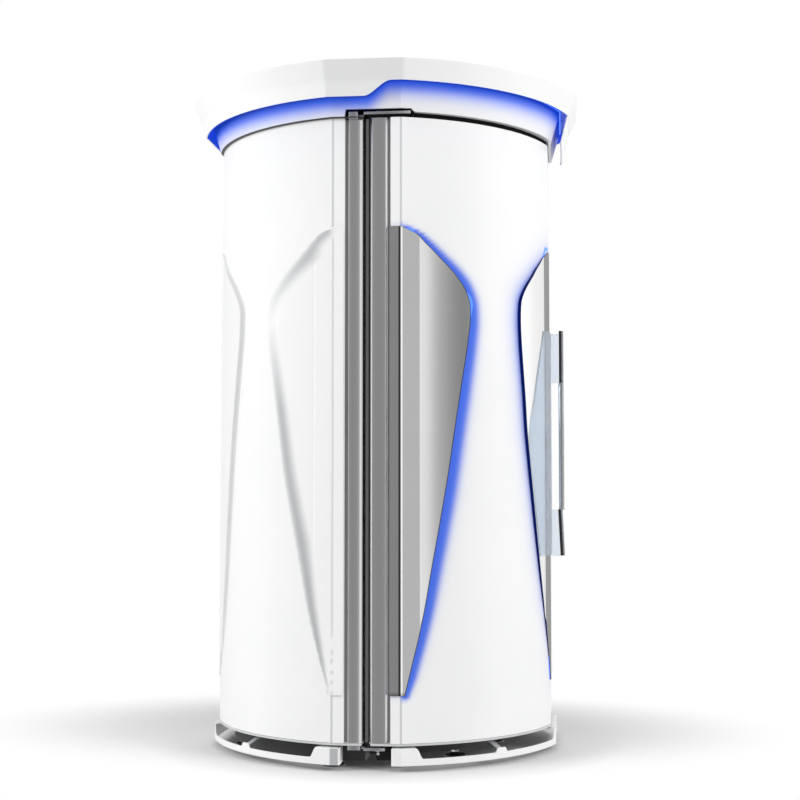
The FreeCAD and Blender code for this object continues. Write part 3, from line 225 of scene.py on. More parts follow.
def make(name, shapes, finish, body, nodes=(), wall=0.0, edge=0.0, sharp=30.0):
    """One mesh object at the origin from a list of shapes in millimetres."""
    points, faces, count = [], [], 0
    marks = {key for made in shapes for key in made["marks"]}
    values = {key: [] for key in marks}
    for made in shapes:
        points.append(made["points"])
        faces += [[corner + count for corner in face] for face in made["faces"]]
        for key in marks:
            values[key].append(made["marks"].get(key, np.zeros(len(made["points"]))))
        count += len(made["points"])
    mesh = bpy.data.meshes.new(name)
    mesh.from_pydata((np.concatenate(points) / 1000).tolist(), [], faces)
    for key in marks:
        mesh.attributes.new(key, "FLOAT", "POINT").data.foreach_set("value", np.concatenate(values[key]))
    weld(mesh)
    piece = bpy.data.objects.new(name, mesh)
    bpy.context.scene.collection.objects.link(piece)
    if wall:
        thick = piece.modifiers.new("wall", "SOLIDIFY")
        thick.thickness, thick.offset, thick.use_even_offset = wall / 1000, -1, True
    if edge:
        soft = piece.modifiers.new("edge", "BEVEL")
        soft.width, soft.segments, soft.angle_limit = edge / 1000, BEVEL_STEPS, math.radians(BEVEL_ANGLE)
    if piece.modifiers:
        bpy.context.view_layer.update()
        ready = piece.evaluated_get(bpy.context.evaluated_depsgraph_get())
        piece.data = bpy.data.meshes.new_from_object(ready)
        piece.modifiers.clear()
        piece.data.name = name
    piece.data.shade_smooth()
    piece.data.set_sharp_from_angle(angle=math.radians(sharp))
    piece.data.materials.clear()
    piece.data.materials.append(finish)
    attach(piece, body)
    if nodes:
        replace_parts(piece, *nodes)
    triangles = sum(len(face.vertices) - 2 for face in piece.data.polygons)
    print(f"{name}: {triangles} triangles on {body}")
    return piece


def weld(mesh):
    """Merges points closer than two microns, and drops the faces that this leaves without an area."""
    work = bmesh.new()
    work.from_mesh(mesh)
    bmesh.ops.remove_doubles(work, verts=work.verts, dist=WELD_GAP)
    bmesh.ops.dissolve_degenerate(work, edges=work.edges, dist=WELD_GAP / 2)
    work.to_mesh(mesh)
    work.free()


# %% [markdown]
# ## Effects that finishes share
# Real paint and metal are never one flat tone. Three small node groups give the marks that several
# finishes use: soft clouds of tone, a fine grain that stretches into the lines of brushed metal, and dust
# that settles where a surface faces up. A group only puts out values; the shader stays in each material.

# %% Node groups
COLOUR_A, COLOUR_B, COLOUR_OUT = 6, 7, 2


def group(name, inputs, outputs):
    """An empty shader node group with named float, colour or vector sockets."""
    tree = bpy.data.node_groups.new(name, "ShaderNodeTree")
    for label, kind, value in inputs:
        socket = tree.interface.new_socket(label, in_out="INPUT", socket_type=f"NodeSocket{kind}")
        socket.default_value = value
    for label, kind in outputs:
        tree.interface.new_socket(label, in_out="OUTPUT", socket_type=f"NodeSocket{kind}")
    return tree, tree.nodes.new("NodeGroupInput"), tree.nodes.new("NodeGroupOutput")


def add(tree, kind, values=(), **settings):
    """A node with values for numbered inputs, and its settings; a setting that names an input sets it."""
    made = tree.nodes.new(f"ShaderNode{kind}")
    for number, value in values:
        made.inputs[number].default_value = value
    for key, value in settings.items():
        if hasattr(made, key):
            setattr(made, key, value)
        else:
            made.inputs[key.replace("_", " ")].default_value = value
    return made


def join(tree, *links):
    """Links, each written as a node and its output, and then a node and its input."""
    for source, output, target, entry in links:
        tree.links.new(source.outputs[output], target.inputs[entry])


def cloud_group():
    """Mottle: two colours mixed by a broad noise on Object coordinates."""
    tree, into, out = group("soft_clouds", [("Light", "Color", (0.9, 0.9, 0.9, 1)),
                                            ("Shade", "Color", (0.85, 0.85, 0.85, 1)),
                                            ("Size", "Float", 3.0)],
                            [("Colour", "Color")])
    place = add(tree, "TexCoord")
    noise = add(tree, "TexNoise", Detail=4.0, Roughness=0.6)
    ramp = add(tree, "MapRange", From_Min=0.35, From_Max=0.65)
    mix = add(tree, "Mix", data_type="RGBA")
    join(tree, (place, "Object", noise, "Vector"), (into, "Size", noise, "Scale"),
         (noise, "Fac", ramp, "Value"), (ramp, "Result", mix, "Factor"), (into, "Light", mix, COLOUR_A),
         (into, "Shade", mix, COLOUR_B), (mix, COLOUR_OUT, out, "Colour"))
    return tree


def grain_group():
    """Fine height noise: a noise whose coordinates are stretched by a vector, so it can be even or drawn."""
    tree, into, out = group("drawn_grain", [("Stretch", "Vector", (1, 1, 1)), ("Size", "Float", 400.0),
                                            ("Low", "Float", 0.0), ("High", "Float", 1.0)],
                            [("Height", "Float"), ("Value", "Float")])
    place = add(tree, "TexCoord")
    scale = add(tree, "VectorMath", operation="MULTIPLY")
    noise = add(tree, "TexNoise", Detail=2.0)
    spread = add(tree, "MapRange", From_Min=0.3, From_Max=0.7)
    join(tree, (place, "Object", scale, 0), (into, "Stretch", scale, 1), (scale, 0, noise, "Vector"),
         (into, "Size", noise, "Scale"), (noise, "Fac", spread, "Value"), (into, "Low", spread, "To Min"),
         (into, "High", spread, "To Max"), (noise, "Fac", out, "Height"), (spread, "Result", out, "Value"))
    return tree


def dust_group():
    """Dust: the normal's upward part times a patchy noise, from 0 on walls to the amount on tops."""
    tree, into, out = group("settled_dust", [("Amount", "Float", 0.3)], [("Mask", "Float")])
    place = add(tree, "TexCoord")
    parts = add(tree, "SeparateXYZ")
    noise = add(tree, "TexNoise", Scale=14.0, Detail=5.0)
    up = add(tree, "MapRange", From_Min=0.6, From_Max=1.0)
    times = add(tree, "Math", operation="MULTIPLY")
    again = add(tree, "Math", operation="MULTIPLY")
    join(tree, (place, "Normal", parts, 0), (place, "Object", noise, "Vector"), (parts, "Z", up, "Value"),
         (up, "Result", times, 0), (noise, "Fac", times, 1), (times, 0, again, 0),
         (into, "Amount", again, 1), (again, 0, out, "Mask"))
    return tree


CLOUDS, GRAIN, DUST = cloud_group(), grain_group(), dust_group()


def use(tree, effect, **values):
    """One of the groups placed in a material, with its own values."""
    made = tree.nodes.new("ShaderNodeGroup")
    made.node_tree = effect
    for key, value in values.items():
        made.inputs[key.replace("_", " ")].default_value = value
    return made


# %% [markdown]
# ## Painted, plastic and metal finishes
# Powder paint is a pale base with faint clouds of tone, a very fine orange-peel bump and a soft gloss.
# Metals use the same recipe with a metallic base and drawn grain along the direction of rolling. So one
# maker builds them all from a few numbers, and the special finishes add their own nodes afterwards.

# %% Finish maker
# SHADE_TONE is the grey of painted shade. The shade mesh value mixes it into white paint in creases, on ramps
# and on facets that get less light.
DUST_TONE, SHADE_TONE = (0.62, 0.60, 0.57), (0.40, 0.41, 0.42)


def overlay(tree, source, output, tint):
    """Mixes a tint over what already feeds the base colour, by a factor from a node's output."""
    base = tree.nodes["Principled BSDF"].inputs["Base Color"]
    mix = add(tree, "Mix", [(COLOUR_B, (*tint, 1))], data_type="RGBA")
    tree.links.new(base.links[0].from_socket, mix.inputs[COLOUR_A])
    tree.links.new(source.outputs[output], mix.inputs["Factor"])
    tree.links.new(mix.outputs[COLOUR_OUT], base)


def finish(name, light, shade, rough, metallic=0.0, grain=500.0, stretch=(1, 1, 1), bump=0.02,
           spread=0.05, size=3.0, dust=0.0, **shader):
    """A material: clouds for the colour, grain for roughness and bump, and dust where it faces up."""
    made = bpy.data.materials.new(name)
    made.use_nodes = True
    tree = made.node_tree
    surface = tree.nodes["Principled BSDF"]
    surface.inputs["Metallic"].default_value = metallic
    for key, value in shader.items():
        surface.inputs[key.replace("_", " ")].default_value = value
    clouds = use(tree, CLOUDS, Light=(*light, 1), Shade=(*shade, 1), Size=size)
    lines = use(tree, GRAIN, Stretch=stretch, Size=grain, Low=max(rough - spread, 0.02), High=rough + spread)
    relief = add(tree, "Bump", Strength=bump, Distance=0.001)
    join(tree, (clouds, "Colour", surface, "Base Color"), (lines, "Value", surface, "Roughness"),
         (lines, "Height", relief, "Height"), (relief, "Normal", surface, "Normal"))
    if dust:
        overlay(tree, use(tree, DUST, Amount=dust), "Mask", DUST_TONE)
    return made


def tinted(made, mark, tint, glow=0.0):
    """Mixes a tint into a finish by a mesh value, and lets that value shine as light too."""
    tree = made.node_tree
    surface = tree.nodes["Principled BSDF"]
    value = add(tree, "Attribute", attribute_name=mark)
    overlay(tree, value, "Fac", tint)
    if glow:
        shine = add(tree, "Mix", [(COLOUR_A, (0, 0, 0, 1)), (COLOUR_B, (*tint, 1))], data_type="RGBA")
        join(tree, (value, "Fac", shine, "Factor"), (shine, COLOUR_OUT, surface, "Emission Color"))
        surface.inputs["Emission Strength"].default_value = glow
    return made


WHITE, OFF_WHITE = (0.88, 0.88, 0.88), (0.86, 0.863, 0.866)
BLUE_EDGE, BLUE_CROWN, BLUE_PAINTED_SHADE = (0.050, 0.140, 0.74), (0.012, 0.112, 0.78), (0.003, 0.022, 0.30)
white_paint = tinted(finish("white_powder_paint", WHITE, OFF_WHITE, 0.36, dust=0.2), "shade", SHADE_TONE)
painted_blue_glow_paint = tinted(finish("white_paint_with_painted_blue_glow", WHITE, OFF_WHITE, 0.36), "shade", SHADE_TONE)
# Painted light: the glow value tints the door's white paint blue beside the wings and adds a faint emission,
# in place of the light of the strips behind them.
tinted(painted_blue_glow_paint, "glow", BLUE_EDGE, glow=0.10)
# Painted light and shade on the crown: the glow value tints the paint blue with an emission, and the deep
# value mixes in a painted navy shade.
painted_crown_glow_paint = finish("white_paint_with_painted_crown_glow", WHITE, OFF_WHITE, 0.42)
tinted(painted_crown_glow_paint, "glow", BLUE_CROWN, glow=0.22)
tinted(painted_crown_glow_paint, "deep", BLUE_PAINTED_SHADE)
silver = finish("silver_wing_lacquer", (0.80, 0.80, 0.795), (0.78, 0.78, 0.78), 0.21, metallic=1.0,
                grain=900.0, bump=0.035, spread=0.03)
# Painted light and shade on the lacquer: the strip value darkens the reflection beside the corner, the rim
# value paints shade on the edge and groove, and the fold value paints navy blue light and shade on the
# turned-in edge.
tinted(silver, "strip", (0.14, 0.14, 0.142))
tinted(silver, "rim", (0.10, 0.10, 0.095))
tinted(silver, "fold", (0.003, 0.014, 0.13))
aluminium = finish("satin_aluminium", (0.82, 0.82, 0.825), (0.79, 0.79, 0.795), 0.24, metallic=1.0,
                   grain=170.0, stretch=(14, 14, 0.12), bump=0.004, spread=0.02, size=1.5)
plate_light = finish("light_plate_paint", (0.62, 0.63, 0.64), (0.56, 0.57, 0.58), 0.45)
white_inside = finish("white_inner_paint", (0.80, 0.80, 0.80), (0.76, 0.765, 0.77), 0.5, grain=350.0)
grey_plate = finish("grey_plate_paint", (0.50, 0.51, 0.52), (0.44, 0.45, 0.46), 0.45, dust=0.2)
dark_steel = finish("black_frame_paint", (0.030, 0.031, 0.034), (0.02, 0.02, 0.022), 0.6, dust=0.12)
gap_painted_shade_black = finish("matt_black_painted_gap_shade", (0.006, 0.006, 0.007), (0.010, 0.010, 0.011), 0.95,
                   Specular_IOR_Level=0.08)
rubber = finish("black_gasket_rubber", (0.010, 0.010, 0.011), (0.018, 0.018, 0.019), 0.8, grain=700.0,
                Specular_IOR_Level=0.25)
seal_rubber = finish("grey_seal_rubber", (0.33, 0.332, 0.331), (0.30, 0.302, 0.301), 0.8, grain=500.0,
                     Specular_IOR_Level=0.2)
plated = finish("zinc_plated_steel", (0.68, 0.68, 0.70), (0.58, 0.585, 0.60), 0.30, metallic=1.0,
                grain=150.0, stretch=(1, 6, 1), bump=0.03)
black_plastic = finish("black_moulded_plastic", (0.012, 0.012, 0.013), (0.020, 0.020, 0.022), 0.38,
                       grain=900.0)
print("finishes:", len(bpy.data.materials))

# %% [markdown]
# ## Wing outlines
# Four kite-shaped wings lie over the corners of each half. Unrolled, a wing's edge is a smooth curve of
# reach past the corner against height: a short slanted top, a rounded shoulder and a long taper. A
# piecewise cubic through a few measured knots gives it, with the slope at each knot taken from its
# neighbours, so the edge has no flats.

# %% Outline curves


def smooth_curve(knots, at):
    """Cubic pieces through (height, reach) knots: each slope is the line between both neighbours."""
    z, u = np.asarray(knots, float).T
    slope = np.gradient(u, z)
    number = np.clip(np.searchsorted(z, at) - 1, 0, len(z) - 2)
    step = z[number + 1] - z[number]
    t = np.clip((at - z[number]) / step, 0, 1)
    return ((2 * t**3 - 3 * t**2 + 1) * u[number] + (t**3 - 2 * t**2 + t) * step * slope[number]
            + (3 * t**2 - 2 * t**3) * u[number + 1] + (t**3 - t**2) * step * slope[number + 1])


SIDE_WING = [(246, 14), (347, 39), (503, 77), (661, 106), (819, 136), (979, 165), (1141, 191), (1303, 219),
             (1430, 241), (1510, 250), (1560, 247), (1600, 230), (1646, 195), (1700, 140), (1749, 89),
             (1786, 47), (1806, 2)]
FRONT_WING = [(248, 6), (330, 25), (389, 41), (462, 63), (533, 84), (605, 105), (746, 140), (886, 169),
              (1026, 195), (1130, 212), (1234, 222), (1304, 230), (1373, 238), (1442, 245), (1512, 249),
              (1547, 248), (1583, 243), (1620, 222), (1639, 206), (1659, 186), (1679, 164), (1700, 143),
              (1722, 115), (1744, 85), (1761, 61), (1784, 10)]
BACK_WING = [(246, 7), (330, 72), (534, 149), (800, 194), (1067, 233), (1320, 276), (1500, 302), (1560, 300),
             (1600, 278), (1646, 236), (1700, 170), (1749, 108), (1786, 58), (1803, 4)]
WING_INNER = 77.5 - SIDE_CORNER
FOLD_DEPTH = [(0, 2.6), (66, 4.8), (100, 6.8), (150, 10.1), (200, 11.7), (255, 11.8)]
STRIP, RIDGE, CORNER_RIDGE = 66.0, 2.8, 4.0

# %% [markdown]
# ## The wings' section
# In plan a wing starts flush with its flat facet, turns in by about fifteen degrees for a narrow strip, has a
# small pressed ridge, and then curves away more slowly than the shell, so its edge stands proud and
# leaves room for the light. The section is a running sum of short steps along the slope.

# %% Wing section
TABLE_STEP, STRIP_SLOPE, START_SLOPE, SLOPE_GAIN, RIDGE_SLOPE = 0.5, 14.5, 14.0, 0.12, 44.0
table_reach = np.arange(0, 330, TABLE_STEP)
table_slope = np.where(table_reach < STRIP, STRIP_SLOPE, START_SLOPE + (table_reach - STRIP) * SLOPE_GAIN)
on_ridge = (abs(table_reach - STRIP) < RIDGE) | (table_reach < CORNER_RIDGE)
table_slope = np.radians(np.where(on_ridge, RIDGE_SLOPE, table_slope))
table_along = np.concatenate([[0], np.cumsum(np.cos(table_slope[:-1])) * TABLE_STEP])
table_out = -np.concatenate([[0], np.cumsum(np.sin(table_slope[:-1])) * TABLE_STEP])
REACHES = np.concatenate([[0, CORNER_RIDGE, 6.8, 7.2], np.linspace(18, STRIP - RIDGE, 5),
                          np.linspace(STRIP + RIDGE, 320, 33)])


def section(reach, lift=0.0):
    """Distance along and out from the facet at a reach past its corner, lifted square to the sheet."""
    slope = np.where(reach > 0, np.radians(15 + np.clip(reach, 0, 330) * 0.05), 0.0)
    along = np.where(reach > 0, np.interp(reach, table_reach, table_along), reach)
    out = np.where(reach > 0, np.interp(reach, table_reach, table_out), 0.0)
    return along + lift * np.sin(slope), out + lift * np.cos(slope)


def shell_section(reach, inset):
    """The same for the shell's skin: the facet, and then the arc at this inset."""
    point = on_arc(inset, corner_angles(inset)[0] + np.clip(reach, 0, None) / (ARC_RADIUS - inset))
    flat = reach <= 0
    return (np.where(flat, reach, point[..., 1] - SIDE_CORNER),
            np.where(flat, -inset, point[..., 0] - HALF_LENGTH))


def end_shell_section(reach, inset):
    """The shell's skin past an end facet's corner, run from there back along the arc."""
    last = corner_angles(inset)[1]
    point = on_arc(inset, last - np.clip(reach, 0, None) / (ARC_RADIUS - inset))
    flat = reach <= 0
    return (np.where(flat, reach, point[..., 0] - END_CORNER),
            np.where(flat, -inset, point[..., 1] - HALF_DEPTH))


def wing_rows(knots):
    """Heights of a wing's rows, closer together along its slanted top."""
    low, high = knots[0][0], knots[-1][0]
    return np.concatenate([np.arange(low, 1540, 14.0), np.arange(1540, high, 5.0), [high]])


def edge_columns(limit, margin):
    """Reaches of a wing's columns at each height: fixed ones held inside the edge, then the edge's own."""
    inner = np.minimum(np.concatenate([[WING_INNER, -25, -8.6, -8, -2.5, -1.9], REACHES])[None, :],
                       limit[:, None] - margin[-1])
    return np.concatenate([inner, limit[:, None] - np.asarray(margin)[::-1][None, :]], axis=1)


# %% [markdown]
# ## Silver wings on the door
# Each is a thin lacquered sheet with a turned-in edge. Its grid runs up the booth by height and across
# it by reach; columns past the edge are held at the edge and welded away, so the edge itself is exact.
# Mesh values mark painted light and shade: painted shade on the rim and groove, a painted navy of blue light
# and shade on the fold that looks into the light, and a painted darker reflection on the strip beside the
# corner.

# %% Door wings
EDGE_MARGINS = (0.0, 2.2, 2.8)
WING_WALL = 1.5


def wing_sheet(knots, rim_shade=1.0, strip_shade=0.0, strip_from=7.0, fold=None):
    """Reach, height and lift of a wing's grid with its fold as outer rows and columns, and three values of
    painted light and shade: the painted shade of the rim and groove, the painted navy of the fold that looks
    into the light, and the painted darker reflection of the strip."""
    z = wing_rows(knots)
    limit = np.maximum(smooth_curve(knots, z), WING_INNER + 8)
    fold = np.full_like(limit, fold) if fold else np.interp(limit, *np.transpose(FOLD_DEPTH))
    reach = edge_columns(limit, EDGE_MARGINS)
    rim = ((reach > -8.2) & (reach < -2.2)) * 1.0
    strip = ((reach > strip_from) & (reach < STRIP - RIDGE + 0.1)) * strip_shade
    rim[:, -2:] = rim_shade
    reach = np.concatenate([reach, reach[:, -1:] + 0.6, reach[:, -1:] + 0.6], axis=1)
    rim, strip = (np.concatenate([a, a[:, -1:], a[:, -1:]], axis=1) for a in (rim, strip))
    lift, painted_fold_navy = np.zeros_like(reach), np.zeros_like(reach)
    lift[:, -2], lift[:, -1] = -0.8, -fold
    painted_fold_navy[:, -2:] = 1.0
    height = np.repeat(z[:, None], reach.shape[1], axis=1)
    reach, height, lift, rim, painted_fold_navy, strip = (
        np.concatenate([a[:1], a, a[-1:]]) for a in (reach, height, lift, rim, painted_fold_navy, strip))
    lift[0], lift[-1], painted_fold_navy[0], painted_fold_navy[-1] = -fold[0], -fold[-1], 1.0, 1.0
    rim[[1, -2]] = np.maximum(rim[[1, -2]], rim_shade * 0.7)
    return reach, height, lift, rim, painted_fold_navy, strip


def side_grid(side, half, reach, height, lift=0.0):
    """Points of a sheet that starts at a side facet's corner."""
    along, out = section(reach, lift)
    return np.stack([(HALF_LENGTH + out) * side, (SIDE_CORNER + along) * half, height], -1)


def end_grid(half, reach, height, lift=0.0):
    """Points of a sheet over an end facet: the reach counts from its corner, the facet is in between."""
    sign = np.where(reach < -END_CORNER, -1.0, 1.0)
    past = np.where(sign > 0, reach, -reach - END_CORNER * 2)
    along, out = section(past, lift)
    return np.stack([(END_CORNER + along) * sign, (HALF_DEPTH + out) * half, height], -1)


def whole_end(grid_values):
    """Mirrors the arrays of half a wing about the facet's middle, so the grid spans it."""
    reach, *others = grid_values
    facet = np.linspace(-END_CORNER, 0, 9)[None, :-1].repeat(len(reach), 0)
    columns = np.argmax(reach[len(reach) // 2] >= 0)
    right = np.concatenate([facet, reach[:, columns:]], axis=1)
    left = -END_CORNER * 2 - right[:, :0:-1]
    widened = [np.concatenate([left, right], axis=1)]
    for values in others:
        pad = np.repeat(values[:, columns:columns + 1], facet.shape[1], axis=1)
        part = np.concatenate([pad, values[:, columns:]], axis=1)
        widened.append(np.concatenate([part[:, :0:-1], part], axis=1))
    return widened


SIDE_STRIP_SHADE, SIDE_FOLD = 0.47, 8.0
reach, height, lift, rim, painted_fold_navy, strip = wing_sheet(SIDE_WING, strip_shade=SIDE_STRIP_SHADE, fold=SIDE_FOLD)
make("door_side_wing_sheets",
     [sheet(side_grid(side, DOOR, reach, height, lift), rim=rim, fold=painted_fold_navy, strip=strip)
      for side in (HINGE, CATCH)],
     silver, "door", ["door_side_wings"], wall=WING_WALL, sharp=9)
reach, height, lift, rim, painted_fold_navy, strip = whole_end(
    wing_sheet(FRONT_WING, rim_shade=0.0, strip_shade=1.0, strip_from=0.0))
make("door_front_wing_sheet", [sheet(end_grid(DOOR, reach, height, lift), fold=painted_fold_navy, strip=strip)],
     silver, "door", ["door_wing_front"], wall=WING_WALL, sharp=9)

# %% [markdown]
# ## White wings on the rear half
# The rear half has the same kites pressed into white sheet. There the side wings' edge is a ramp, 72 mm wide,
# that climbs from the shell's skin to the wing's full height, so each point is a mix of the two surfaces
# by its distance from the outline.

# %% Rear wings
SIDE_RAMP, BACK_RAMP = 72.0, 9.0
SIDE_MARGINS = (0.0, 8.0, 17.0, 27.0, 37.0, 47.0, 57.0, 66.0, 72.0, 77.0)
BACK_MARGINS = (0.0, 3.0, 6.0, 9.0, 12.0)


def outline_distance(knots, reach, height, ends=True):
    """Shortest distance in the unrolled sheet to the outline, taken at points 6 mm apart along it."""
    low, high = knots[0][0], knots[-1][0]
    z = np.arange(low, high, 6.0)
    edge = np.stack([smooth_curve(knots, z), z], -1)
    for level, end in ((high, knots[-1][1]), (low, knots[0][1])) if ends else ():
        across = np.arange(-200, end, 6.0)
        edge = np.concatenate([edge, np.stack([across, np.full_like(across, level)], -1)])
    away = np.full(reach.shape, 1e9)
    for start in range(0, len(edge), 40):
        part = edge[start:start + 40]
        gap = np.hypot(reach[..., None] - part[:, 0], height[..., None] - part[:, 1])
        away = np.minimum(away, gap.min(-1))
    return away


def ramped(knots, ramp, margins):
    """Reach, height and share of the full height for a white wing's grid. The ramp is narrower where the
    wing itself is, so it ends in a point on the corner's line, and a narrow ramp is counted by reach."""
    z = np.concatenate([wing_rows(knots)[:1] + [0, 7, 18, 30, 42, 54, 66, 72, 77], wing_rows(knots)[6:]])
    limit = np.maximum(smooth_curve(knots, z), WING_INNER + 5)
    reach = np.maximum(edge_columns(limit, margins), WING_INNER)
    height = np.repeat(z[:, None], reach.shape[1], axis=1)
    away = outline_distance(knots, reach, height, ends=False) if ramp > 20 else limit[:, None] - reach
    share = np.clip(away / np.minimum(ramp, 0.5 * np.maximum(limit, 4.0))[:, None], 0, 1)
    return reach, height, np.where(reach <= 0, 1.0, share)


def mixed(full, low, share):
    """From the skin's points to the wing's points, easing in and out by a cubic of the share."""
    eased = share * share * (3 - 2 * share)
    return [a * eased + b * (1 - eased) for a, b in zip(full, low)]


RAMP_SHADE_STRENGTH = [(246, 0.85), (420, 1.0), (1200, 0.95), (1400, 0.42), (1500, 0.1), (1620, 0.5), (1700, 0.85)]
WIDENING = [(246, 0), (520, 12), (1000, 34), (1500, 34), (1640, 14), (1806, 0)]


def ramp_shade(share, height):
    """Painted shade in the fold of the ramp: a soft grey bell over its width, weak at the wing's widest
    place.
    """
    strength = np.interp(height, *np.transpose(RAMP_SHADE_STRENGTH))
    return strength * np.sin(np.pi * np.clip(share, 0, 1) ** 0.7) ** 1.3


wider = [(z, u + np.interp(z, *np.transpose(WIDENING))) for z, u in SIDE_WING]
reach, height, share = ramped(wider, SIDE_RAMP, SIDE_MARGINS)
along, out = mixed(section(reach), shell_section(reach, SKIN_INSET - 0.5), share)
grid = np.stack([HALF_LENGTH + out, SIDE_CORNER + along, height], -1)
# Painted shade: a grey bell across the ramp and a grey line along the corner.
shade = np.maximum(ramp_shade(share, height), 0.5 * ((reach > -2.7) & (reach < 0.1)))
make("rear_side_wing_sheets", both_sides(sheet(grid, shade=shade)),
     white_paint, "booth", ["rear_side_wings"], sharp=14)
reach, height, share = whole_end(ramped(BACK_WING, BACK_RAMP, BACK_MARGINS))
sign = np.where(reach < -END_CORNER, -1.0, 1.0)
past = np.where(sign > 0, reach, -reach - END_CORNER * 2)
along, out = mixed(section(past), end_shell_section(past, SKIN_INSET - 0.5), share)
grid = np.stack([(END_CORNER + along) * sign, HALF_DEPTH + out, height], -1)
# Painted shade: a grey line at the wing's edge and a faint grey over the wing.
make("rear_back_wing_sheet", [sheet(grid, shade=0.1 * share + 0.4 * np.sin(np.pi * share))],
     white_paint, "booth", ["rear_wing_back"], sharp=14)

# %% [markdown]
# ## The shell's skins
# Four quarters of rolled sheet and two flat end sheets. A quarter is one path in plan, from a folded
# return beside the upright, along the facet, softened at the corner, and round the arc. A grey line of
# painted shade runs in the bend at the corner. On the door the blue light from the strips behind the wings
# is painted on the wall beside them, besides the little that the strips really cast, so each point there
# carries how strongly it is painted lit, from its distance to the nearest wing's outline.

# %% Skins
ARC_LENGTH = ARC_RADIUS * (corner_angles(0)[1] - corner_angles(0)[0])
GLOW_WIDTH = [(200, 10), (246, 17), (303, 26), (569, 37), (903, 46), (1236, 47), (1469, 42), (1636, 35),
              (1769, 20), (1806, 11)]


def quarter_path(inset, cheek, bend=3.0):
    """Plan points of a quarter sheet from its return at `cheek`, each point's reach past the corner, and
    a painted shade line in the bend."""
    first, last = corner_angles(inset)
    radius = ARC_RADIUS - inset
    angles = np.concatenate([first + np.array([bend, bend + 1]) / radius,
                             np.linspace(first + 0.012, last, 73)])
    curve = on_arc(inset, angles)
    corner = on_arc(inset, np.array([first]))[0]
    across = np.concatenate([np.linspace(cheek + 3, corner[1] - bend - 6, 4),
                             corner[1] - bend - np.array([1, 0])])
    flat = np.stack([np.full(6, corner[0]), across], -1)
    lip = np.array([(-14.0, 0.0), (-2.4, 0.0), (-0.7, 0.8)]) + (corner[0], cheek)
    path = np.concatenate([lip, flat, curve, curve[-1:] + [(0.5, -2.5)]])
    reach = np.concatenate([[WING_INNER] * 3, across - corner[1], (angles - first) * radius, [ARC_LENGTH]])
    # Painted shade: a grey line in the bend at the corner.
    line = (abs(reach) < bend + 0.1) * 0.6
    return path, reach, line


def lit(away, height):
    """How strongly the blue light is painted on the wall: one beside a wing, half at a width that depends on
    the height, then soon nothing, as one over one plus the sixth power of the distance in widths."""
    return 1 / (1 + (away / np.interp(height, *np.transpose(GLOW_WIDTH))) ** 6)


FRONT_STRENGTH = [(248, 0.15), (540, 0.45), (1060, 0.66), (1500, 0.85), (1659, 0.75), (1797, 0.5)]


def lit_front(away, height):
    """The painted blue glow beside the front wing falls from its edge on: a strength that depends on the
    height, times the exponential of minus the distance over 33 mm to the power 1.2."""
    return np.interp(height, *np.transpose(FRONT_STRENGTH)) * np.exp(-(away / 33.0) ** 1.2)


rows = {DOOR: np.concatenate([[SHELL_BOTTOM], np.arange(98, 2170, 11.0), [SHELL_TOP]]),
        REAR: np.array([SHELL_BOTTOM, 700, 1400, SHELL_TOP])}
for half, cheek in ((DOOR, 80.0), (REAR, 74.0)):
    path, reach, line = quarter_path(SKIN_INSET, cheek)
    z = rows[half]
    across, painted_crease_shade, up = np.broadcast_arrays(reach, line, z[:, None])
    glow = np.zeros(up.shape)
    if half == DOOR:
        near = outline_distance(SIDE_WING, across, up)
        far = outline_distance(FRONT_WING, ARC_LENGTH - across, up)
        # Painted blue light beside the side wings and the front wing.
        glow = np.maximum(lit(near, up), lit_front(far, up)) * np.interp(across, [-4, 6], [0.12, 1.0])
    for side in (HINGE, CATCH):
        name = f"{HALF_NAME[half]}_shell_{SIDE_NAME[side]}_side"
        made = placed(sheet(raised(path, z), glow=glow, shade=painted_crease_shade), x=side, y=half)
        make(name + "_skin", [made], painted_blue_glow_paint if half == DOOR else white_paint, HALF_BODY[half], [name],
             wall=SKIN_WALL, sharp=9)

# %% End sheets
for half, name in ((DOOR, "door_shell_front"), (REAR, "rear_shell_back")):
    x = np.linspace(0.8 - END_CORNER, END_CORNER - 0.8, 23)
    z = rows[half]
    y = np.full_like(x, HALF_DEPTH - SKIN_INSET)
    y[[0, -1]] -= 2.0
    x[[1, -2]] = x[0] + 1.0, x[-1] - 1.0
    grid = np.stack(np.broadcast_arrays(x[None, :], y[None, :] * half, z[:, None]), -1)
    away = outline_distance(FRONT_WING, np.abs(grid[..., 0]) - END_CORNER, grid[..., 2])
    # Painted blue light beside the front wing on the front sheet.
    glow = lit_front(away, grid[..., 2]) if half == DOOR else np.zeros_like(away)
    make(name + "_skin", [sheet(grid, glow=glow)], painted_blue_glow_paint if half == DOOR else white_paint,
         HALF_BODY[half], [name], wall=SKIN_WALL, sharp=9)

# %% [markdown]
# ## Aluminium uprights
# A drawn profile stands at each side of the seam. Its flat face is satin, and its bevels catch the
# light as bright lines. The profile is an outline in plan, pushed from plate to plate. A lip seal stands in
# the seam between them, and a thin flange runs under the shell, just inside its outline.

# %% Uprights
UPRIGHT_OUT, UPRIGHT_IN = 649.0, 579.0
INNER_LOW, INNER_HIGH = 93.0, 2174.0


def upright_outline(near, far, seam_bevel, slot_bevel, seam_depth, slot_depth):
    """The profile's corners in the positive quarter, with a bevel at each outer edge and a groove."""
    groove_out, groove_in, groove_deep = UPRIGHT_OUT - 22, UPRIGHT_OUT - 30, far - 3
    return [(UPRIGHT_IN, near), (UPRIGHT_OUT - seam_depth, near), (UPRIGHT_OUT, near + seam_bevel),
            (UPRIGHT_OUT, far - slot_bevel), (UPRIGHT_OUT - slot_depth, far), (groove_out, far),
            (groove_out, groove_deep), (groove_in, groove_deep), (groove_in, far), (UPRIGHT_IN, far)]


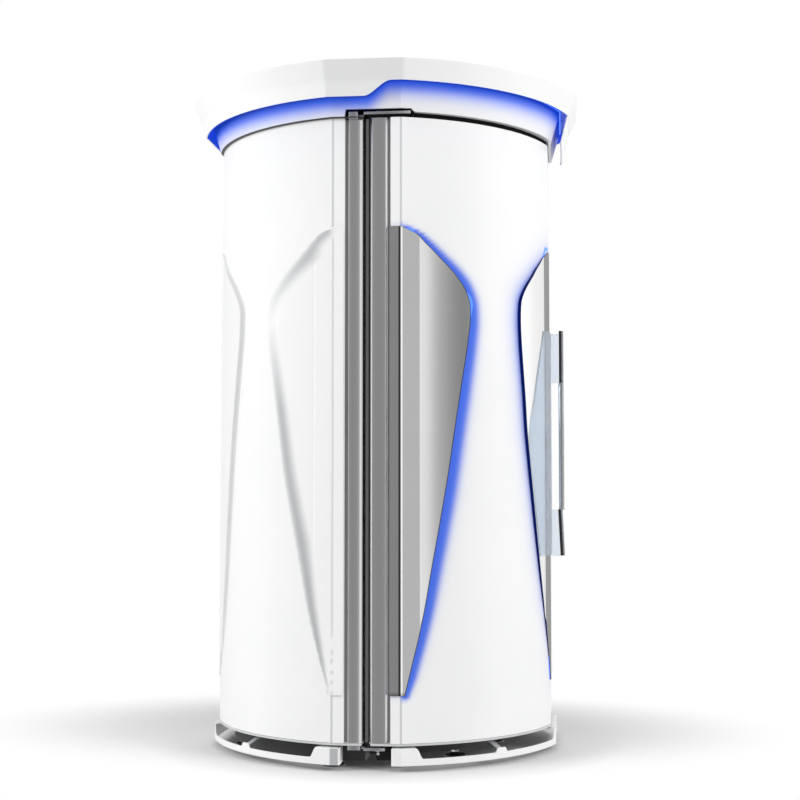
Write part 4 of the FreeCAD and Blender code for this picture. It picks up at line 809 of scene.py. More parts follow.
UPRIGHT_PLANS = {DOOR: (11.5, 70.5, 7.0, 7.0, 6.5, 6.5), REAR: (13.0, 62.0, 12.5, 2.0, 3.3, 2.0)}
for half, plan_numbers in UPRIGHT_PLANS.items():
    outline = np.array(upright_outline(*plan_numbers))
    name = f"{HALF_NAME[half]}_uprights"
    make(name + "_profiles",
         [bar(outline * (side, half), SHELL_BOTTOM - 1, SHELL_TOP - 1) for side in (HINGE, CATCH)],
         aluminium, HALF_BODY[half], [name], edge=0.7)
lip_grey = finish("grey_lip_seal", (0.125, 0.125, 0.125), (0.11, 0.11, 0.11), 0.7, grain=600.0,
                  Specular_IOR_Level=0.2)
lips = [bar(outline + (middle * side, y), INNER_LOW, INNER_HIGH) for side in (HINGE, CATCH)
        for outline, middle, y in ((rounded(7, 12.1, 3), 637.5, -1.25), (rounded(34, 4, 0.5), 617.0, 2.0))]
make("seam_lip_seals", lips, lip_grey, "booth", sharp=25)
SEAM_GAP, FLANGE_LOW, FLANGE_HIGH = 14.0, 82.5, 89.4
flange = quarter_ring(2.6)
flange = flange[flange[:, 1] >= SEAM_GAP]
flange = np.concatenate([[(flange[0, 0], SEAM_GAP)], flange])
flange = sheet(raised(flange, (FLANGE_LOW, FLANGE_HIGH)))
for half in (DOOR, REAR):
    make(f"{HALF_NAME[half]}_bottom_flange", both_sides(flange, half), plate_light, HALF_BODY[half],
         wall=1.5)

# %% [markdown]
# ## The plinth
# A white skirt hangs under each half. Its wall is cut down in two long notches in every quarter, with a
# short rib between them. The wall's top edge is therefore a height that changes along the path, and the
# sheet folds in there: far at the solid ends, a little in the notches.

# %% Plinths
PLINTH_OUT, PLINTH_LOW, PLINTH_HIGH, NOTCH_LOW, RIB_HIGH = 14.0, 20.0, 76.0, 42.0, 57.0


def smooth_step(value, low, high):
    """0 below low, 1 above high, and a cubic with flat ends in between."""
    t = np.clip((value - low) / (high - low), 0, 1)
    return t * t * (3 - 2 * t)


def plinth_path():
    """Plan points of half the skirt in the positive quarter: the end face, a round corner, the facet, the
    arc and the end facet up to its middle, and each point's unit direction inwards."""
    first, last = corner_angles(-PLINTH_OUT)
    curve = on_arc(-PLINTH_OUT, np.linspace(first, last, 250))
    side_x, start, radius = curve[0, 0], 85.0, 5.0
    turn = np.linspace(-np.pi / 2, 0, 5)
    corner = np.stack([side_x - radius + radius * np.cos(turn), start + radius + radius * np.sin(turn)], -1)
    face = np.stack([np.linspace(side_x - 72, side_x - radius - 2, 4), np.full(4, start)], -1)
    flat = np.stack([np.full(6, side_x), np.linspace(start + radius + 2, curve[0, 1] - 2, 6)], -1)
    end = np.stack([np.linspace(curve[-1, 0] - 2, 0, 12), np.full(12, curve[-1, 1])], -1)
    path = np.concatenate([face, corner, flat, curve[1:-1], end])
    step = np.gradient(path, axis=0)
    inwards = np.stack([-step[:, 1], step[:, 0]], -1)
    inwards /= np.linalg.norm(inwards, axis=1)[:, None]
    inwards[-1] = (0, -1)
    return path, inwards


def plinth_top(path):
    """The wall's top: full at both ends, low in the notches, with a round-headed rib between them."""
    x, y = path.T
    low = np.minimum(smooth_step(y, 168, 190), smooth_step(x, 176, 194))
    top = PLINTH_HIGH + (NOTCH_LOW - PLINTH_HIGH) * low
    rib = smooth_step(y, 422, 430) * (1 - smooth_step(y, 450, 458))
    return np.where(rib > 0, np.maximum(top, NOTCH_LOW + (RIB_HIGH - NOTCH_LOW) * np.sqrt(rib)), top)


path, inwards = plinth_path()
top = plinth_top(path)
solid_end = (top > PLINTH_HIGH - 1) & (path[:, 1] > 92)
deep = np.where(solid_end, 70.0, 3.5)
profile = [(3.0, PLINTH_LOW), (0.9, PLINTH_LOW + 0.3), (0.0, PLINTH_LOW + 1.5)]
levels = [np.full(len(path), z) for _, z in profile] + [PLINTH_LOW + 1.5 + (top - PLINTH_LOW - 3) * t
                                                        for t in (0.25, 0.5, 0.75, 1.0)]
levels += [top - 0.3, top, top]
depths = [np.full(len(path), d) for d, _ in profile] + [np.zeros(len(path))] * 4
depths += [np.full(len(path), 0.9), np.full(len(path), 3.0), deep]
grid = raised(path + inwards * np.stack(depths)[..., None], np.stack(levels))
depth = np.array([66, 66, 72, 74, 74])[:, None, None]
hanger = raised(path[9:] + inwards[9:] * depth, [90, 74, 72, 74, 90])
rib_at = int(np.argmin(abs(path[:, 1] - 440)))
rib_point, rib_in = path[rib_at], inwards[rib_at]
rib_side = np.array([rib_in[1], -rib_in[0]])


def strut(width=22.0, wall=4.0):
    """A slanted tie from behind the rib up to the hanger: a flat bar between two heights."""
    ends = []
    for depth, z in ((3.0, 49.0), (64.0, 78.0)):
        for across in (-width / 2, width / 2):
            for drop in (0, -wall):
                ends.append([*(rib_point + rib_in * depth + rib_side * across), z + drop])
    faces = [[0, 1, 3, 2], [4, 6, 7, 5], [0, 4, 5, 1], [2, 3, 7, 6], [0, 2, 6, 4], [1, 5, 7, 3]]
    return outward(shape(ends, faces))


for half in (DOOR, REAR):
    name = f"{HALF_NAME[half]}_plinth"
    flat_end = (grid[..., 1] > 91) & (grid[..., 1] < 117) & (grid[..., 2] < PLINTH_HIGH - 1)
    # The flat facet at each end of the skirt is mixed towards the shade grey: much on the rear half, little
    # on the door.
    tone = flat_end * (0.9 if half == REAR else 0.1)
    make(name + "_skirt", both_sides(sheet(grid, shade=tone), half),
         white_paint, HALF_BODY[half], [name], wall=2.5, sharp=25)
    make(name + "_hanger", both_sides(sheet(hanger), half),
         dark_steel, HALF_BODY[half], [name], wall=2.0)
    make(name + "_struts", both_sides(strut(), half),
         grey_plate, HALF_BODY[half], [name], edge=0.8)

# %% [markdown]
# ## The crown's wall and fascia
# Above the shell the crown flares out. Its inner wall, the neck, has blue light painted on it, as from a
# strip hidden behind the outer fascia, with a painted navy shade just under the fascia's edge. The fascia is
# one ring whose lower edge is a function of the place round the plan: low behind, a smooth step up at the
# sides, high over the door, and a hanging visor in front. Both are grids of rings whose outset follows the
# height.

# %% Crown surfaces
CROWN_SPLIT = (20, 64)
FOLD_HEIGHT, STEP_LOW, STEP_HIGH = 2282.5, 2235.0, 2283.5


def fascia_outset(z):
    """The fascia leans out gently below its fold and more above it."""
    return np.interp(z, [2178, 2282, CROWN_TOP], [48, 72, 104])


def neck_outset(z):
    """The neck leans out up to the light strip and is upright behind the fascia."""
    return np.interp(z, [2180, 2290, 2346], [6, 38, 38])


def fascia_low(y):
    """Height of the fascia's lower edge from the place along Y: a step between two levels."""
    return STEP_HIGH - (STEP_HIGH - STEP_LOW) * smooth_step(y, -88, 4)


def rings(insets, heights, split=CROWN_SPLIT):
    """A grid of rings of the plan, one for each inset and height. The split is the number of steps along
    half a facet and along an arc."""
    return raised(np.stack([ring(inset, *split) for inset in insets]), heights)


def leaning(low, high, steps, outset):
    """A flaring wall whose lower edge differs by column: every column keeps its own row heights, and
    each point is put on the ring of its height by mixing two rings."""
    share = np.linspace(0, 1, steps)[:, None]
    z = low[None, :] + (high - low[None, :]) * share
    pitch = 4.0
    levels = np.arange(0.0, 108.0, pitch)
    table = np.stack([ring(-level, *CROWN_SPLIT) for level in levels])
    place = outset(z) / pitch
    under = np.clip(place.astype(int), 0, len(levels) - 2)
    part = (place - under)[..., None]
    column = np.arange(z.shape[1])[None, :]
    return raised(table[under, column] * (1 - part) + table[under + 1, column] * part, z)


plan = ring(-40.0, *CROWN_SPLIT)
edge_low = fascia_low(plan[:, 1])
fold_line = np.maximum(edge_low, FOLD_HEIGHT)
lower = leaning(edge_low, fold_line, 4, fascia_outset)[:-1]
upper = leaning(fold_line, CROWN_TOP - 1.2, 8, fascia_outset)
brim = rings([-103.0, -100.0], CROWN_TOP)
FRONT_HALF = 178.0


def front_y(x, outset):
    """Depth of the plan's outline at x: the end facet, and beyond its corner the arc."""
    arc = ARC_CENTRE[1] + np.sqrt((ARC_RADIUS + outset) ** 2 - (np.abs(x) - ARC_CENTRE[0]) ** 2)
    return np.minimum(HALF_DEPTH + outset, arc)


x = np.concatenate([[-FRONT_HALF], np.linspace(-FRONT_HALF + 1.5, FRONT_HALF - 1.5, 31), [FRONT_HALF]])
z = np.array([2178.0, 2181, 2200, 2225, 2250, 2270, 2282, 2286])
visor = np.stack(np.broadcast_arrays(x, -front_y(x[None, :], fascia_outset(z)[:, None]), z[:, None]), -1)
fascia = np.concatenate([lower, upper, brim])
# The crown's white is a lighter copy of the white paint, painted lighter to make up for the light that its
# outward-leaning fascia misses; its side facets get a painted shade.
crown_white_painted_lighter = finish("white_paint_painted_lighter_for_crown", (0.91, 0.91, 0.91), (0.895, 0.897, 0.90), 0.36, dust=0.2)
crown_paint = tinted(crown_white_painted_lighter, "shade", SHADE_TONE)
painted_side_shade = (abs(plan[:, 0]) > abs(plan[:, 0]).max() - 0.01) * 0.2
painted_side_shade = np.repeat(painted_side_shade[None], len(fascia), 0)
make("crown_fascia_ring", [sheet(fascia, closed=True, shade=painted_side_shade), sheet(visor)], crown_paint, "booth",
     ["crown_fascia"], wall=4.0, sharp=14)

# %% Lining with painted blue light


def slimmed(grid, depth):
    """The same grid moved towards the booth's axis."""
    away = np.linalg.norm(grid[..., :2], axis=-1, keepdims=True)
    moved = grid.copy()
    moved[..., :2] *= 1 - depth / away
    return moved


# Painted blue light on the lining under the fascia: full on the ring, strongest near the fold on the visor,
# with a painted navy shade on the visor.
lining_painted_glow = 0.35 + 0.65 * np.exp(-abs(visor[..., 2] - 2282) / 60.0)
lining = np.concatenate([lower, upper[:-1]])
ring_lining = sheet(slimmed(lining, 5.0), closed=True, glow=np.full(lining.shape[:2], 0.95))
visor_lining = sheet(slimmed(visor, 5.0), glow=lining_painted_glow, deep=np.full_like(lining_painted_glow, 0.6))
make("crown_fascia_lining", [ring_lining, visor_lining],
     painted_crown_glow_paint, "booth", ["crown_fascia"], sharp=14)

# %% Neck
in_recess = (plan[:, 0] < 0) & (plan[:, 1] < 77) & (plan[:, 1] > -160)
front_low = 2181.5 + 12.5 * smooth_step(abs(plan[:, 0]), 150, 200)
neck_low = np.where(in_recess, 2204.0, np.where(plan[:, 1] < 0, front_low, 2180.5))
neck = leaning(neck_low, 2346.0, 48, neck_outset)
below = edge_low[None, :] - neck[..., 2]
# Painted blue light on the neck, fading below the fascia's lower edge, and painted navy shade right under
# that edge.
neck_painted_glow = np.exp(-(np.clip(below + 9.0, 0, None) / 48.0) ** 2.3)
neck_painted_shade = 1 - smooth_step(below, -12.0, 3.0)
lip = neck[:1].copy()
lip[..., :2] *= 1 - 9.0 / np.linalg.norm(lip[..., :2], axis=-1, keepdims=True)
neck_painted_glow, neck_painted_shade = (np.concatenate([a[:1], a]) for a in (neck_painted_glow, neck_painted_shade))
make("crown_neck_wall", [sheet(np.concatenate([lip, neck]), closed=True, glow=neck_painted_glow, deep=neck_painted_shade)],
     painted_crown_glow_paint, "booth", ["crown_neck"], wall=2.0, sharp=14)
# Painted shade: a matt black liner in the gap under the crown and black blocks in the hinge recess stand in
# for the shadow there.
GAP_LOW, POCKET_TOP = 2180.2, 2203.0
gap = rings([10.0, 10.0, 40.0], [GAP_LOW, 2193.0, 2193.0])
pocket = [block((-640, -158, GAP_LOW), (-574, -152, POCKET_TOP)),
          block((-640, 71, GAP_LOW), (-574, 77, POCKET_TOP)),
          block((-578, -158, GAP_LOW), (-572, 77, POCKET_TOP)),
          block((-650, -158, POCKET_TOP), (-572, 77, POCKET_TOP + 3))]
order = np.roll(np.arange(len(plan)), -int(np.argmin(abs(plan[:, 0] + 640) + abs(plan[:, 1] + 165))))
door_side = order[plan[order, 1] < 2]
halves = [door_side[plan[door_side, 0] * side > 165] for side in (HINGE, CATCH)]
make("crown_gap_painted_shade", [*(sheet(gap[:, half]) for half in halves), *pocket], gap_painted_shade_black, "booth",
     ["crown_neck"])

# %% Roof


def roof_height(x, y):
    """The roof sheet, with a pressed ring round the spigot and shallow ribs across it."""
    away = np.hypot(x, y)
    ribs = smooth_step(np.cos(np.arctan2(y, x) * 12), 0.75, 0.95) * smooth_step(away, 240, 300)
    return 2347.2 + 2.3 * ribs * (1 - smooth_step(away, 560, 620)) + 2.0 * (1 - smooth_step(away, 150, 170))


outer = ring(-101.0, *CROWN_SPLIT)
inner = outer / np.linalg.norm(outer, axis=1)[:, None] * 99.0
share = np.linspace(0, 1, 40)[:, None, None]
flat = inner[None] * (1 - share) + outer[None] * share
roof = raised(flat, roof_height(flat[..., 0], flat[..., 1]))
SCREW_HEAD = [(0, 3.0), (3, 2.8), (5, 1.6), (5.6, 0.2)]
screw = [*SCREW_HEAD, (5.6, -2)]
ring_screws = ring(-86.0, *CROWN_SPLIT)[::26]
make("crown_roof_sheet", [sheet(roof, closed=True)], white_paint, "booth", ["crown_roof"],
     wall=1.2, sharp=25)
make("crown_roof_screws", [turned(screw, (x, y, 2349.0), 12) for x, y in ring_screws], plated, "booth",
     ["crown_roof"], sharp=40)

# %% [markdown]
# ## Hinge and stop
# Two brackets of bright plate hold the pins, with a block beside each that bolts to the upright. Plate
# edges are beveled a little, because a real cut edge never meets at a point. The pins have domed
# heads, turned from a profile.

# %% Hinge
PLATE_IN = -593
bracket = [block((-649, -149, 2188), (PLATE_IN, 11, 2198)), block((-652.5, 30, 2174), (PLATE_IN, 62, 2198)),
           block((-618, 11, 2189), (PLATE_IN, 30, 2197)), block((-649, -62, 66), (PLATE_IN, 9, 76)),
           block((-649, 20, 67), (PLATE_IN, 62, 90)), block((-618, 9, 67), (PLATE_IN, 20, 75))]
make("hinge_bracket_plates", bracket, plated, "booth", ["hinge_brackets"], edge=1.2)
top_pin = [(0, 2206), (5, 2205.6), (10, 2204), (12.6, 2201.5), (13, 2198.4), (13, 2198), (8, 2198), (8, 2146),
           (0, 2146)]
low_pin = [(0, 50), (2.6, 50.4), (4.8, 52.2), (5.6, 55), (4.8, 57.6), (3.4, 59), (3.4, 63), (10.5, 63.4),
           (11, 66), (8, 66), (8, 116), (0, 116)]
PIN_X, PIN_Y = -630, -38
make("hinge_pin_bolts", [turned(profile, (PIN_X, PIN_Y, 0), 32) for profile in (top_pin, low_pin)], plated,
     "booth", ["hinge_pins"], sharp=40)
stop = [block((-585, -100, 26), (-545, -25, 90)), block((-583, -98, 24), (-547, -27, 27))]
make("door_stop_buffer", stop, rubber, "door", ["door_stop_block"], edge=2.5)

# %% [markdown]
# ## The door's handle
# A sheet of clear pale-blue acrylic is bent over the front wing, a little proud of it. Two solid blocks
# stand on it, each with a dark blade and a bright cover over it, and a flattened tube between them is the
# grip. The sheet's edge follows the wing's outline below its widest place.

# %% Handle
PLATE_KNOTS = [(690, 124), (748, 137), (818, 151), (888, 166), (958, 181), (1028, 195), (1097, 203),
               (1167, 192), (1239, 168), (1293, 151), (1347, 133), (1421, 103), (1492, 72)]
BLOCK_LOW, BAR_LOW, BAR_HIGH = 682, 850, 1322


def plate_grid(knots, lift):
    """The acrylic sheet: the wing's section lifted by a constant, between two mirrored edges."""
    z = np.linspace(knots[0][0], knots[-1][0], 90)
    limit = smooth_curve(knots, z)
    share = np.linspace(0, 1, 28)
    half_width = (END_CORNER + limit)[:, None] * share[None, :]
    reach = half_width - END_CORNER
    height = np.repeat(z[:, None], len(share), axis=1)
    right = end_grid(DOOR, reach, height, lift)
    left = right[:, :0:-1] * (-1, 1, 1)
    return np.concatenate([left, right], axis=1)


acrylic = finish("clear_blue_acrylic", (0.83, 0.89, 0.965), (0.82, 0.885, 0.965), 0.08, grain=300.0,
                 bump=0.004, spread=0.02, Transmission_Weight=0.85, IOR=1.1)
tube_finish = finish("satin_grip_tube", (0.70, 0.71, 0.73), (0.62, 0.63, 0.66), 0.24, metallic=1.0,
                     grain=80.0, stretch=(14, 14, 0.5), bump=0.01, spread=0.04)
make("handle_acrylic_sheet", [sheet(plate_grid(PLATE_KNOTS, 3.4))], acrylic, "door", ["handle_plate"],
     wall=2.6, sharp=14)
blocks = [bar([(-610, BLOCK_LOW), (-639, BLOCK_LOW), (-631, 851), (-610, 851)], -35, 35, axis=0),
          bar(rounded(70, 26.5, 4) + (0, -623.25), BAR_HIGH, 1500)]
make("handle_acrylic_blocks", blocks, acrylic, "door", ["handle_plate"], edge=1.5)


def end_strip(near, far):
    """A strip on each block: slanted with the lower block's face, upright on the upper one."""
    low = [(-near - 2, BLOCK_LOW), (-far - 2, BLOCK_LOW), (6 - far, 852), (6 - near, 852)]
    high = [(-near, 1320), (-far, 1320), (-far, 1514), (-near, 1514)]
    return [bar(outline, -15, 15, axis=0) for outline in (low, high)]


make("handle_end_blades", end_strip(637.8, 648.4), black_plastic, "door", ["handle_blades"],
     edge=0.8)
make("handle_end_covers", end_strip(648.6, 655.0), tube_finish, "door", ["handle_bar"],
     edge=1.5)
make("handle_grip_tube", [bar(rounded(30, 21.5, 8, 8) + (0, -646.25), BAR_LOW, BAR_HIGH)], tube_finish,
     "door", ["handle_bar"], edge=2.5, sharp=25)

# %% [markdown]
# ## Lamps and their sockets
# Ultraviolet tubes stand in a ring round the cabin: eleven along each quarter, one beside each upright
# and four across the end. A tube is one turned profile of coated glass with a metal cap at both ends. The
# glass is grey for a few millimetres beside the caps, where the heater coil has darkened the coating.

# %% Lamps
LAMP_INSET = 150.0


def lamp_places(half):
    """Lamp axes in plan: beside the upright, at even angles along the arc, and across the end facet."""
    curve = on_arc(LAMP_INSET, np.linspace(*corner_angles(LAMP_INSET), 11))
    ends = [(53.0 * pitches, HALF_DEPTH - LAMP_INSET) for pitches in (0.5, 1.5)]
    quarter = np.concatenate([[(HALF_LENGTH - LAMP_INSET, 40.0)], curve, ends])
    return np.concatenate([quarter, quarter * (-1, 1)]) * (1, half)


def both_ends(profile):
    """A profile for the lower end and the same one upside down for the upper end."""
    profile = np.asarray(profile, float)
    return profile, np.stack([profile[:, 0], INNER_LOW + INNER_HIGH - profile[:, 1]], -1)[::-1]


def column(profile, places, count, **marks):
    """The same turned shape at every place in plan, with a value for each row of the profile."""
    made = []
    for x, y in places:
        each = turned(profile, (x, y, 0), count)
        each["marks"] = {key: np.repeat(values, count) for key, values in marks.items()}
        made.append(each)
    return made


lamp_glass = tinted(finish("coated_lamp_glass", (0.80, 0.82, 0.86), (0.78, 0.80, 0.84), 0.16, bump=0.004,
                           spread=0.02, Coat_Weight=0.4), "coil", (0.16, 0.15, 0.15))
socket_white = finish("white_socket_plastic", (0.74, 0.74, 0.73), (0.70, 0.70, 0.69), 0.4, grain=800.0)
low_glass, high_glass = both_ends([(17.0, 154.0), (18.7, 156.5), (19.0, 160.0), (19.0, 168.0), (19.0, 186.0)])
glass = np.concatenate([low_glass, high_glass])
coil = np.array([1.0, 1.0, 0.8, 0.35, 0.0, 0.0, 0.35, 0.8, 1.0, 1.0])
cap = [(0, 123.0), (16.5, 123.0), (17.6, 124.0), (17.6, 151.0), (18.3, 152.0), (18.3, 154.5), (17.0, 155.0),
       (0, 155.0)]
socket = [(0, 93.0), (20.4, 93.0), (21.0, 94.0), (21.0, 112.0), (19.4, 114.0), (19.4, 121.5), (18.4, 123.0),
          (0, 123.0)]
for half in (DOOR, REAR):
    name, body, places = HALF_NAME[half], HALF_BODY[half], lamp_places(half)
    make(f"{name}_lamp_tubes", column(glass, places, 20, coil=coil), lamp_glass, body, [f"{name}_lamps"],
         sharp=40)
    caps = [each for profile in both_ends(cap) for each in column(profile, places, 20)]
    make(f"{name}_lamp_caps", caps, aluminium, body, [f"{name}_lamps"], sharp=35)
    sockets = [each for profile in both_ends(socket) for each in column(profile, places, 18)]
    make(f"{name}_socket_rings", sockets,
         socket_white, body, [f"{name}_lamp_sockets"], sharp=35)

# %% [markdown]
# ## Reflectors
# Behind the lamps a sheet of bright aluminium is pressed into ribs, one ridge between each two lamps, so
# that light isn't lost behind a tube. In plan it is the oval at an inset that grows at each ridge, as a
# raised power of a cosine of the place between lamps.

# %% Reflectors
REFLECTOR_INSET, RIDGE_RISE = 118.8, 7.5


def reflector_path():
    """Plan points of a quarter reflector from the upright to the middle of the end."""
    share = np.linspace(-0.02, 1.02, 420)
    phase = 0.5 - 0.5 * np.cos(2 * np.pi * share * 10)
    inset = REFLECTOR_INSET + RIDGE_RISE * phase**4
    angles = np.linspace(*corner_angles(REFLECTOR_INSET), 420)
    curve = on_arc(inset[:, None], angles)
    start = np.stack([np.full(4, HALF_LENGTH - REFLECTOR_INSET), np.linspace(62.5, curve[0, 1] - 8, 4)], -1)
    end = np.stack([np.linspace(curve[-1, 0] - 8, 0, 6), np.full(6, HALF_DEPTH - REFLECTOR_INSET)], -1)
    return np.concatenate([start, curve, end])


bright = finish("bright_reflector_sheet", (0.86, 0.86, 0.87), (0.83, 0.83, 0.845), 0.16, metallic=1.0,
                grain=120.0, stretch=(8, 8, 0.2), bump=0.004, spread=0.03)
grid = raised(reflector_path(), (93.4, 760, 1430, 2173.6))
for half in (DOOR, REAR):
    make(f"{HALF_NAME[half]}_reflector_sheet", both_sides(sheet(grid), half),
         bright, HALF_BODY[half], [f"{HALF_NAME[half]}_reflector"], sharp=25)

# %% [markdown]
# ## The platform and its mat
# The user stands in a shallow tray with a rolled edge, on a grey mat whose ribs follow the oval, so a
# wet foot doesn't slip. The mat is the oval shrunk towards its middle, with a height that is a rounded
# wave of the distance shrunk.

# %% Platform
TRAY_SPLIT, TRAY_BOTTOM, TRAY_FLOOR, MAT_TOP = (12, 40), 64.0, 83.1, 87.0


def lid(row, z):
    """A flat face over a whole ring."""
    return shape(raised(row, z), [list(range(len(row)))])


tray_profile = [(198.6, TRAY_BOTTOM), (198.0, 66.0), (198.0, 90.4), (198.8, 91.7), (200.0, 92.0),
                (201.4, 91.6), (202.0, 90.4), (202.4, 84.2), (204.0, TRAY_FLOOR)]
tray = rings(*zip(*tray_profile), TRAY_SPLIT)
tray_paint = finish("white_tray_enamel", (0.78, 0.78, 0.78), (0.74, 0.745, 0.75), 0.3, dust=0.35)
mat_rubber = finish("grey_ribbed_mat", (0.20, 0.205, 0.21), (0.165, 0.17, 0.175), 0.7, grain=600.0, bump=0.15,
                    dust=0.5)
foot = lid(tray[0], TRAY_BOTTOM)
foot["faces"] = [foot["faces"][0][::-1]]
make("platform_tray", [sheet(tray, closed=True), lid(tray[-1], TRAY_FLOOR), foot], tray_paint, "booth",
     ["floor_platform"], sharp=35)
share = np.concatenate([[1.0, 1.0, 0.998], np.linspace(0.994, 0.03, 190)])
wave = 0.5 - 0.5 * np.cos(share[3:] * 2 * np.pi * 30)
height = np.concatenate([[TRAY_FLOOR, 86.4, MAT_TOP], 86.6 + 1.4 * np.sqrt(wave)])
mat = raised(share[:, None, None] * ring(228.5, *TRAY_SPLIT), height)
make("platform_ribbed_mat", [sheet(mat, closed=True), lid(mat[-1], MAT_TOP)], mat_rubber, "booth",
     ["floor_mat"], sharp=60)

# %% [markdown]
# ## Levelling feet
# Seven feet carry the booth: a threaded stud with a hexagonal nut over a moulded pad that spreads
# the weight.

# %% Feet
FOOT_INSET = 218.0
door_foot = (ARC_CENTRE + (ARC_RADIUS - FOOT_INSET) * math.sqrt(0.5)) * (1, -1)
feet = [(x * side, y) for side in (HINGE, CATCH) for x, y in ((547, 122), (160, 501), door_foot)]
feet.append((0, FOOT_INSET - HALF_DEPTH))
pad = [(0, 0), (37.5, 0), (39.4, 1.2), (40, 3.2), (39.4, 5.4), (31, 9.6), (14, 11.6), (12, 12.6), (0, 12.6)]
make("foot_pads", column(pad, feet, 36), black_plastic, "booth", ["levelling_feet"],
     sharp=35)
stud = [(0, 12), (7.2, 12), (8, 12.8), (8, 24), (0, 24)]
nut = [(0, 13.4), (12.6, 13.4), (14, 14.2), (14, 20.0), (12.6, 20.8), (0, 20.8)]
make("foot_studs", column(stud, feet, 20) + column(nut, feet, 6), plated, "booth", ["levelling_feet"],
     sharp=25)

# %% [markdown]
# ## Ceiling grille and fan
# Over the cabin, rings of rounded bar guard the fan. The rotor has a hub with a rounded rim and seven
# twisted blades: along a blade the pitch falls from root to tip and the chord swells a little, and a
# slight camber bends it across.

# %% Grille and fan
def closed_loop(width, height, at_radius, at_height, count=8):
    """An ellipse as a (radius, height) profile that ends where it starts."""
    turn = np.linspace(0, 2 * np.pi, count + 1)
    return np.stack([at_radius + width / 2 * np.cos(turn), at_height + height / 2 * np.sin(turn)], -1)


rings_of_bar = [turned(closed_loop(6, 3, 142 - 18 * number, 2192.5), (0, 0, 0), 72) for number in range(1, 7)]
rim = turned([(145, 2191.0), (161.5, 2191.0), (163, 2191.8), (163, 2194), (145, 2194), (145, 2191.0)],
             (0, 0, 0), 72)
spokes = [bar(rounded(*size, 1.5), 2191.2, 2193.8) for size in ((292, 5), (5, 292))]
grille_paint = finish("white_grille_paint", (0.82, 0.82, 0.82), (0.79, 0.79, 0.795), 0.4)
make("ceiling_grille_rings", [*rings_of_bar, rim, *spokes], grille_paint, "booth", ["ceiling_grille"],
     sharp=40)


BLADES, FAN_MIDDLE = 7, 2245.0


def fan_blade(turn, root=50.0, tip=128.0):
    """A blade's sheet: radius by place on the chord, turned by a pitch that falls along the radius."""
    radius = np.linspace(root, tip, 12)[:, None]
    across = np.linspace(-1, 1, 9)[None, :]
    share = (radius - root) / (tip - root)
    pitch = np.radians(38 - 18 * share)
    chord = 27 + 3 * np.sin(np.pi * share)
    camber = 3.0 * (1 - across**2)
    along = across * chord * np.cos(pitch)
    up = across * chord * np.sin(pitch) + camber
    out = np.sqrt(np.maximum(radius**2 - (along * 0.6)**2, 0))
    cos, sin = math.cos(turn), math.sin(turn)
    return sheet(np.stack([out * cos - along * sin, out * sin + along * cos, FAN_MIDDLE + up], -1))


fan_grey = finish("grey_fan_plastic", (0.16, 0.165, 0.17), (0.13, 0.134, 0.14), 0.4, grain=700.0, dust=0.5)
hub = [(6, 2227), (44, 2227), (52, 2229), (54.6, 2233), (55, 2238), (55, 2262), (53, 2265), (50, 2266),
       (6, 2266)]
make("fan_rotor_blades", [fan_blade(2 * np.pi * number / BLADES) for number in range(BLADES)], fan_grey,
     "fan_rotor", ["fan_rotor"], wall=2.4, sharp=50)
make("fan_rotor_hub", [turned(hub, (0, 0, 0), 48)], fan_grey, "fan_rotor", ["fan_rotor"],
     sharp=40)

# %% [markdown]
# ## Exhaust spigot
# Warm air leaves through a rolled pipe with a bead that holds the hose's clip. Its flange sits on the
# roof with eight screws.

# %% Spigot
pipe = [(98.4, 2347), (98.4, 2409.2), (99.2, 2410), (100, 2409.2), (100, 2396), (101.6, 2394.4),
        (102.2, 2392), (101.6, 2389.6), (100, 2388), (100, 2358), (101.4, 2354.6), (105, 2353.2),
        (124, 2353.2), (125, 2352.4), (125, 2350.4), (98.4, 2350.2)]
screw = [*SCREW_HEAD, (5.6, -1)]
turns = np.arange(8) * np.pi / 4 + np.pi / 8
make("exhaust_spigot_pipe", [turned(pipe, (0, 0, 0), 96)], plated, "booth", ["exhaust_spigot"],
     sharp=30)
make("exhaust_spigot_screws",
     [turned(screw, (116 * math.cos(a), 116 * math.sin(a), 2353), 12) for a in turns],
     plated, "booth", ["exhaust_spigot"], sharp=40)

# %% [markdown]
# ## Control panel
# Three push buttons sit in bezels on a moulded box beside the catch. Each has a plain raised sign that any
# machine has: a square for stop, a three-bladed fan, and a triangle for start. The buttons have a dished
# face for the finger.

# %% Controls
BUTTONS = {"stop": (1240.0, (0.62, 0.035, 0.03), "button_red"),
           "fan": (1300.0, (0.03, 0.16, 0.60), "button_blue"),
           "start": (1360.0, (0.03, 0.42, 0.10), "button_green")}
PANEL_FACE, PANEL_MIDDLE = 446.0, 49.0
panel_plastic = finish("pale_panel_plastic", (0.70, 0.71, 0.72), (0.67, 0.68, 0.69), 0.42, grain=900.0,
                       bump=0.04)
ridge_dark = finish("dark_sign_plastic", (0.05, 0.052, 0.056), (0.04, 0.042, 0.045), 0.4, grain=900.0)


def facing(made, height):
    """A shape drawn in the YZ plane about the origin, put on the panel's face at a height."""
    return placed(made, by=(PANEL_FACE, PANEL_MIDDLE, height))


def lobe(turn):
    """One rounded blade of the fan sign: a circle beside the middle, at an angle."""
    a = np.linspace(0, 2 * np.pi, 16, endpoint=False)
    return np.stack([4.2 * math.cos(turn) + 2.6 * np.cos(a), 4.2 * math.sin(turn) + 2.6 * np.sin(a)], -1)


